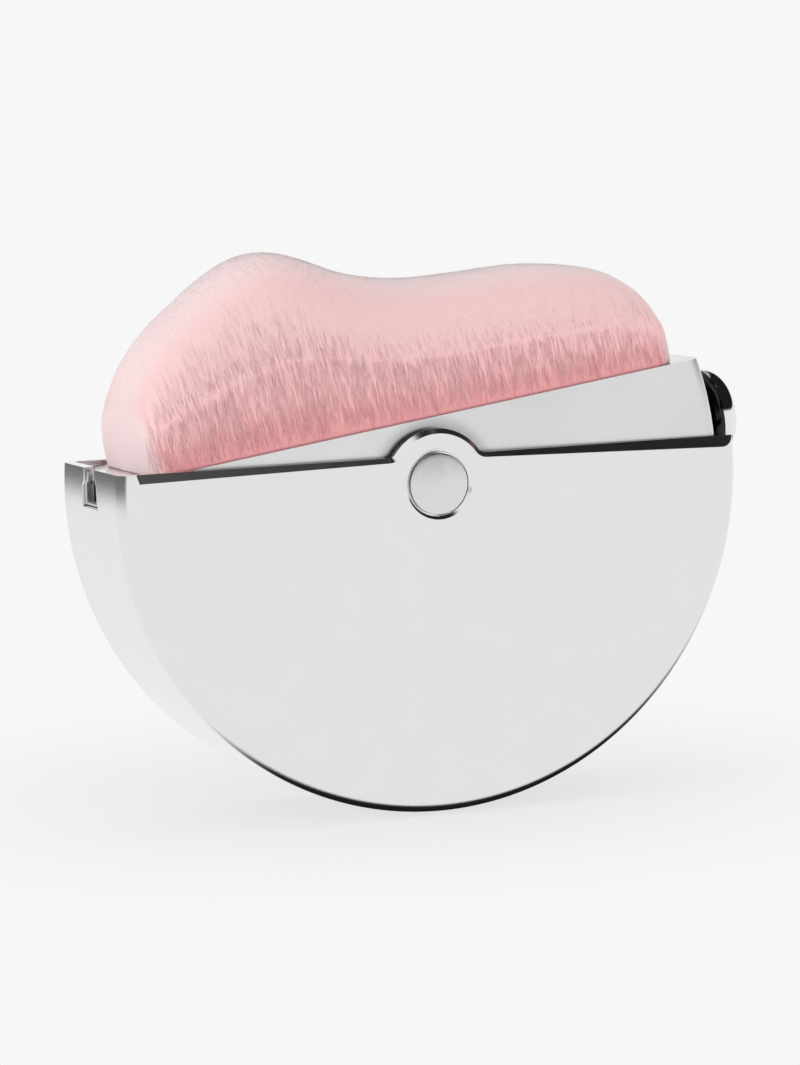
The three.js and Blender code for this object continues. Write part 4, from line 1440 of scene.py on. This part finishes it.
    def copy_needles(self, name: str, parts: Sequence[tuple], seat: Matrix) -> bpy.types.Object:
        """Makes one piece of many copies of needles, with a map of number and height.

        Args:
            name: The piece's name.
            parts: For each kind of needle the points of its copies, the faces of one, and each
                copy's number.
            seat: The head's place.

        Returns:
            The piece.
        """
        points, corners, sizes, maps = [], [], [], []
        base = 0
        for places, faces, number in parts:
            one = np.array([v for face in faces for v in face])
            lengths = np.array([len(face) for face in faces])
            count, size, _ = places.shape
            corners.append((one[None, :] + base + np.arange(count)[:, None] * size).ravel())
            points.append(places.reshape(-1, 3))
            sizes.append(np.tile(lengths, count))
            side = np.concatenate([np.arange(n) / n for n in lengths])
            inside = self.column_margin + (1 - 2 * self.column_margin) * side[None, :]
            across = (number[:, None] + inside) / self.columns
            maps.append(np.stack([across, self.map_height(places)[:, one]], -1).reshape(-1, 2))
            base += count * size
        mesh = bpy.data.meshes.new(name)
        totals = np.concatenate(sizes)
        mesh.vertices.add(base)
        mesh.vertices.foreach_set("co", np.concatenate(points).astype(np.float32).ravel())
        mesh.loops.add(int(totals.sum()))
        mesh.loops.foreach_set("vertex_index", np.concatenate(corners))
        mesh.polygons.add(len(totals))
        mesh.polygons.foreach_set("loop_start", np.concatenate([[0], np.cumsum(totals)[:-1]]))
        mesh.update(calc_edges=True)
        layer = mesh.uv_layers.new(name=FIBRE_MAP)
        layer.data.foreach_set("uv", np.concatenate(maps).astype(np.float32).ravel())
        mesh.validate()
        piece = bpy.data.objects.new(name, mesh)
        bpy.context.scene.collection.objects.link(piece)
        choose(piece)
        bpy.ops.object.shade_smooth()
        return place(piece, seat)

    def map_height(self, places: np.ndarray) -> np.ndarray:
        """Gives the map's V: a point's height as a share of the tuft's height there, raised to 1 near the
        tuft's ends, whose palest colour is partly their pale tips and partly painted light.

        Args:
            places: Points about the pin, in the head.

        Returns:
            Their shares, kept a little inside 0 and 1.
        """
        above = places[..., 2] - self.mouth
        half, wide = self.root_half[0], self.tip_half[0]
        along = np.clip(places[..., 0] / (half + (wide - half) * self.spread(above)), -1, 1)
        # Near the ends V rises to 1: the palest colour there is partly the pale tips and partly painted
        # light.
        end = np.clip((np.abs(along) - self.pale_and_lit_end[0]) / (self.pale_and_lit_end[1] - self.pale_and_lit_end[0]), 0, 1)
        share = np.clip(above / self.crown(along), 0, 1)
        eased = end * end * (3 - 2 * end)
        return self.height_margin + (1 - 2 * self.height_margin) * np.maximum(share, eased)

    def build_core(self, seat: Matrix) -> bpy.types.Object:
        """Models the closed core under the fibres: a cube subdivided and blown to the tuft's form.

        Args:
            seat: The head's place.

        Returns:
            The core.
        """
        bpy.ops.mesh.primitive_cube_add(size=2)
        core = new_piece("tuft_core")
        with editing(core):
            bpy.ops.mesh.subdivide(number_cuts=self.core_cuts)
        cube = np.array([v.co for v in core.data.vertices])
        half, wide = np.array(self.root_half), np.array(self.tip_half)
        low = self.mouth - self.backing_depth - self.backing_thickness
        shares = np.sin(np.pi / 2 * np.clip(cube[:, :2], -1, 1))
        full = self.tip_height(shares[:, 0], shares[:, 1])
        rise = (cube[:, 2] + 1) / 2
        height = low + rise * (self.mouth + full - self.skin_drop - low)
        reach = half - self.skin_inset + (wide - half) * self.spread(height - self.mouth)[:, None]
        plan = shares * reach
        past = np.maximum(np.abs(plan) - (reach - self.corner), 0)
        over = np.maximum(np.hypot(*past.T) / self.corner, 1)[:, None]
        plan = np.sign(plan) * (np.abs(plan) - past + past / over)
        places = np.column_stack([plan, height])
        core.data.vertices.foreach_set("co", places.astype(np.float32).ravel())
        up = self.map_height(places)
        uv = core.data.uv_layers.active or core.data.uv_layers.new(name="fibre_map")
        for loop in core.data.loops:
            k = loop.vertex_index
            uv.data[loop.index].uv = ((cube[k, 0] + 1) / 2, up[k])
        choose(core)
        bpy.ops.object.shade_smooth()
        return place(core, seat)

    def assemble(self, seat: Matrix) -> None:
        """Builds and dresses the fibres and the core under them, which both replace the bristle nodes.

        Args:
            seat: The head's place.
        """
        for piece, node in zip(self.build_slices(seat), self.slices):
            install(piece, Body.HEAD, FIBRE, [node])
        install(self.build_core(seat), Body.HEAD, FIBRE_SKIN, self.slices)


@dataclass
class Head:
    """The round-ended bar with its cover, its knob and its tuft."""

    case: Case
    half_height: float = 6.84 * MM
    edge_round: float = 1.4 * MM
    side_wall: float = 0.8 * MM
    end_wall: float = 4.3 * MM
    floor: float = 1.14 * MM
    pocket_corner: float = 3 * MM
    cover_thickness: float = 0.6 * MM
    cover_end_land: float = 2.69 * MM
    cover_side_land: float = 1.3 * MM
    cover_corner: float = 2 * MM
    cover_chamfer: float = 0.08 * MM
    bush_flange_radius: float = 3.6 * MM
    mouth_chamfer: float = 0.12 * MM
    knob: ThumbKnob = field(init=False)
    tuft: Tuft = field(init=False)

    def __post_init__(self) -> None:
        """Sizes the knob and the tuft from the bar that carries them."""
        self.knob = ThumbKnob(self.case.radius, self.pocket[0] - FIT)
        self.tuft = Tuft(self.half_height, self.pocket)

    @property
    def radius(self) -> float:
        """The radius of the bar's round ends."""
        return self.case.inner_radius - END_GAP

    @property
    def half_depth(self) -> float:
        """Half the bar's depth."""
        return self.case.inner_half_depth - RUNNING_GAP

    @property
    def pocket(self) -> Vector:
        """Half the length and width of the pocket."""
        return Vector((self.radius - self.end_wall, self.half_depth - self.side_wall))

    @property
    def seat(self) -> Matrix:
        """The head's place: it leans until its stud stands on the right rim's inner top corner."""
        rest = self.case.top + RUNNING_GAP
        reach = math.hypot(self.case.inner_radius, rest)
        tilt = math.asin((self.knob.stud_radius + self.knob.stud_drop) / reach)
        tilt += math.atan2(rest, self.case.inner_radius)
        return Matrix.Translation(PIVOT) @ Matrix.Rotation(-tilt, 4, "Y")

    def build_bar(self) -> bpy.types.Object:
        """Models the bar with its pocket, its recess for the cover and its holes.

        Returns:
            The bar, in place.
        """
        bar = self.case.disc("head_bar", self.radius, self.half_depth, self.edge_round)
        reach = self.radius + OVERRUN
        combine(bar, slab("bar_band", Vector((reach, reach)), 0, -self.half_height, self.half_height),
                Joining.KEEP)
        cover_floor = -self.half_height + self.cover_thickness + SEAT
        rim = self.half_height - self.mouth_chamfer
        pocket = slab("pocket_cutter", self.pocket, self.pocket_corner, cover_floor + self.floor, rim)
        flare_top(pocket, rim, self.pocket, self.mouth_chamfer)
        combine(bar, pocket, Joining.CUT)
        combine(bar, slab("cover_cutter", self.cover_half, self.cover_corner,
                          -self.half_height - OVERRUN, cover_floor), Joining.CUT)
        hole = self.bush_flange_radius + FIT
        combine(bar, turned("pin_cutter", [(hole, -reach), (hole, reach)], self.case.pin.steps),
                Joining.CUT)
        stud = self.knob.stud_radius + FIT
        bore = turned("stud_cutter", [(stud, self.pocket[0] - OVERRUN), (stud, reach)],
                      self.knob.stud_steps)
        self.knob.along_head(bore, Matrix.Identity(4))
        combine(bar, bore, Joining.CUT)
        polish(bar)
        return place(bar, self.seat)

    @property
    def cover_half(self) -> Vector:
        """Half the length and width of the recess for the cover."""
        end = math.sqrt(self.radius ** 2 - self.half_height ** 2) - self.cover_end_land
        return Vector((end, self.half_depth - self.cover_side_land))

    def build_cover(self) -> bpy.types.Object:
        """Models the thin plate let into the bar's underside.

        Returns:
            The cover, in place.
        """
        half = self.cover_half - Vector((FIT, FIT))
        cover = slab("cover_plate", half, self.cover_corner - FIT, -self.half_height,
                     -self.half_height + self.cover_thickness)
        with editing(cover):
            pick(cover, Part.EDGES, lambda e: max(v.co.z for v in e.verts) < SEAT - self.half_height)
            bpy.ops.mesh.bevel(offset=self.cover_chamfer, segments=2, affect="EDGES")
        polish(cover)
        return place(cover, self.seat)

    def assemble(self) -> None:
        """Builds and dresses the bar, its cover, its knob and its tuft."""
        install(self.build_bar(), Body.HEAD, HEAD_METAL, ["head_shell"])
        install(self.build_cover(), Body.HEAD, HEAD_METAL, ["head_cover"])
        for name in ("front_bush", "rear_bush"):
            dress_node(name, NYLON)
        for name in ("block_screw_left", "block_screw_right"):
            dress_node(name, STEEL)
        dress_node("brush_block", BLOCK_PLASTIC)
        dress_node("fibre_bed", RESIN)
        self.knob.assemble(self.seat)
        self.tuft.assemble(self.seat)


@dataclass(frozen=True)
class Patch:
    """A soft-edged round patch of the studio that metal mirrors."""

    way: Way  # the direction of its middle
    outer: float  # the cosine of the angle from its middle to its edge
    inner: float  # the cosine of the angle within which it is full
    level: float = 1.0

    def wire(self, wiring: Wiring, seen: bpy.types.NodeSocket) -> bpy.types.NodeSocket:
        """Wires the patch.

        Args:
            wiring: The world's node tree.
            seen: The direction that is looked in.

        Returns:
            The socket of the patch's level there.
        """
        middle = Vector(self.way).normalized()
        near = wiring.add("VectorMath", {0: seen, 1: middle}, operation="DOT_PRODUCT").outputs[1]
        return wiring.ramp(near, self.outer, self.inner, 0, self.level)


@dataclass(frozen=True)
class Lamp:
    """A soft square lamp that points at the object and isn't mirrored in the metal."""

    name: str
    at: Way
    size: float
    power: float  # in watts

    def build(self) -> None:
        """Hangs the lamp."""
        lamp = bpy.data.lights.new(self.name, "AREA")
        lamp.size = self.size
        lamp.energy = self.power
        holder = bpy.data.objects.new(self.name, lamp)
        holder.location = self.at
        holder.rotation_euler = (-Vector(self.at)).to_track_quat("-Z", "Y").to_euler()
        holder.visible_glossy = False
        bpy.context.scene.collection.objects.link(holder)


@dataclass
class Studio:
    """The pale floor, the soft light and the camera at the photograph's viewing angle."""

    white: float = 0.93
    dark: float = 0.012
    patches: tuple[Patch, ...] = (
        Patch((-0.62, -0.45, 0.64), 0.79, 0.88),  # the softbox
        Patch((0.34, 0.925, 0.17), 0.88, 0.95),  # the backdrop
        Patch((-0.25, 0.62, 0.74), 0.76, 0.88, 0.8),  # the box behind
        Patch((0.27, -0.25, 0.93), 0.9955, 0.9995, 0.1),  # a faint glow above
    )
    pit: Patch = Patch((0.35, 0.38, -0.857), 0.72, 0.88)  # it darkens what lies in it
    wall_turn: Point = (0.3, 0.6)  # how far to the front the pale front wall starts and is full
    wall_top: Ramp = (0.03, 0.2, 1, 0)  # how high the wall reaches
    horizon: Ramp = (0.0, 0.16, 0.17, 0)  # a faint haze over the horizon
    table_edge: Ramp = (-0.12, -0.04, 1, 0)  # the pale table under the horizon
    table_shift: Ramp = (0.4, 0.6, 0, 0.2)  # to the right the table reaches higher
    lit: Ramp = (-0.2, 0.9, 0.56, 0.86)  # the light on what isn't mirrored, from below and above
    lamps: tuple[Lamp, ...] = (
        Lamp("key", (-0.55, -0.1, 0.1), 0.3, 1.25), Lamp("fill", (0.1, -0.6, 0), 0.5, 1.6))
    floor_drop: float = 21.3 * MM
    floor_size: float = 40.0
    floor_matt: float = 0.8
    floor_fade: Ramp = (15 * MM, 80 * MM, 0.65, 1)  # from the shadow's floor to the plain white one
    clip: Point = (0.01, 100)  # how near and how far the camera sees
    camera_at: Vector = field(default_factory=lambda: Vector((-158.86, -412.25, 55.98)) * MM)
    camera_turn: tuple[float, float, float] = (-21.526, 6.349, -1.804)  # yaw, pitch, roll
    lens: float = 136.86
    sensor: float = 36

    def build_camera(self) -> None:
        """Sets the camera where the photograph was taken from."""
        yaw, pitch, roll = (math.radians(a) for a in self.camera_turn)
        back = Vector((math.sin(yaw) * math.cos(pitch), -math.cos(yaw) * math.cos(pitch), math.sin(pitch)))
        level = Vector((math.cos(yaw), math.sin(yaw), 0))
        up = back.cross(level)
        right = level * math.cos(roll) + up * math.sin(roll)
        over = up * math.cos(roll) - level * math.sin(roll)
        camera = bpy.data.cameras.new("camera")
        camera.lens = self.lens
        camera.sensor_fit = "VERTICAL"
        camera.sensor_height = self.sensor
        camera.clip_start, camera.clip_end = self.clip
        holder = bpy.data.objects.new("camera", camera)
        facing = Matrix((right, over, back)).transposed().to_4x4()
        holder.matrix_world = Matrix.Translation(self.camera_at) @ facing
        bpy.context.scene.collection.objects.link(holder)
        bpy.context.scene.camera = holder

    def build_world(self) -> None:
        """Wires what metal mirrors, the light on all else, and the plain white that the camera sees."""
        world = bpy.data.worlds.new("studio")
        bpy.context.scene.world = world
        world.use_nodes = True
        wiring = Wiring(world.node_tree)
        world.node_tree.nodes.clear()
        way = wiring.add("TexCoord").outputs["Generated"]
        split = wiring.add("SeparateXYZ", {"Vector": way})
        x, y, z = split.outputs[:3]
        forward = wiring.ramp(wiring.math("MULTIPLY", y, -1.0), *self.wall_turn)
        lower = wiring.math("SUBTRACT", z, wiring.ramp(x, *self.table_shift))
        bright = wiring.math("MULTIPLY", forward, wiring.ramp(z, *self.wall_top))
        for level in (wiring.ramp(z, *self.horizon), wiring.ramp(lower, *self.table_edge),
                      *(patch.wire(wiring, way) for patch in self.patches)):
            bright = wiring.math("MAXIMUM", bright, level)
        clear = wiring.math("SUBTRACT", 1.0, self.pit.wire(wiring, way))
        bright = wiring.math("MULTIPLY", bright, clear)
        mirrored = wiring.ramp(bright, 0, 1, self.dark, self.white, smooth=False)
        path = wiring.add("LightPath")
        lit = wiring.ramp(z, *self.lit)
        glossy = wiring.mix(path.outputs["Is Glossy Ray"], lit, mirrored)
        seen = wiring.math("MAXIMUM", path.outputs["Is Camera Ray"], path.outputs["Is Transmission Ray"])
        level = wiring.mix(seen, glossy, (self.white,) * 3 + (1,))
        background = wiring.add("Background", {"Color": level, "Strength": 1.0})
        output = wiring.add("OutputWorld")
        world.node_tree.links.new(background.outputs[0], output.inputs[0])

    def build_floor(self) -> None:
        """Lays the pale floor, which fades into the backdrop and keeps a soft shadow."""
        bpy.ops.mesh.primitive_plane_add(size=self.floor_size, location=(0, 0, -self.floor_drop))
        floor = new_piece("studio_floor")
        material = bpy.data.materials.new("studio_floor")
        material.use_nodes = True
        wiring = Wiring(material.node_tree)
        material.node_tree.nodes.clear()
        spot = wiring.add("TexCoord").outputs["Object"]
        away = wiring.add("VectorMath", {0: spot}, operation="LENGTH").outputs[1]
        path = wiring.add("LightPath")
        seen = wiring.math("MAXIMUM", path.outputs["Is Camera Ray"], wiring.math(
            "MAXIMUM", path.outputs["Is Glossy Ray"], path.outputs["Is Transmission Ray"]))
        far = wiring.ramp(away, *self.floor_fade)
        plain = wiring.add("Emission", {"Color": (self.white,) * 3 + (1,), "Strength": 1.0})
        matt = wiring.add("BsdfDiffuse", {"Color": (self.floor_matt,) * 3 + (1,)})
        mixed = wiring.add("MixShader", {0: wiring.math("MULTIPLY", seen, far),
                                         1: matt.outputs[0], 2: plain.outputs[0]})
        output = wiring.add("OutputMaterial")
        material.node_tree.links.new(mixed.outputs[0], output.inputs[0])
        floor.data.materials.append(material)
        floor.visible_glossy = False

    def build(self) -> None:
        """Builds the camera, the world, the floor and the lamps."""
        self.build_camera()
        self.build_world()
        self.build_floor()
        for lamp in self.lamps:
            lamp.build()
        bpy.context.scene.view_settings.view_transform = "Standard"


def main() -> None:
    """Builds the studio and the brush."""
    logging.basicConfig(level=logging.INFO, format="%(name)s: %(message)s")
    bpy.ops.object.select_all(action="DESELECT")
    Studio().build()
    case = Case()
    case.assemble()
    Head(case).assemble()


if __name__ == "__main__":
    main()
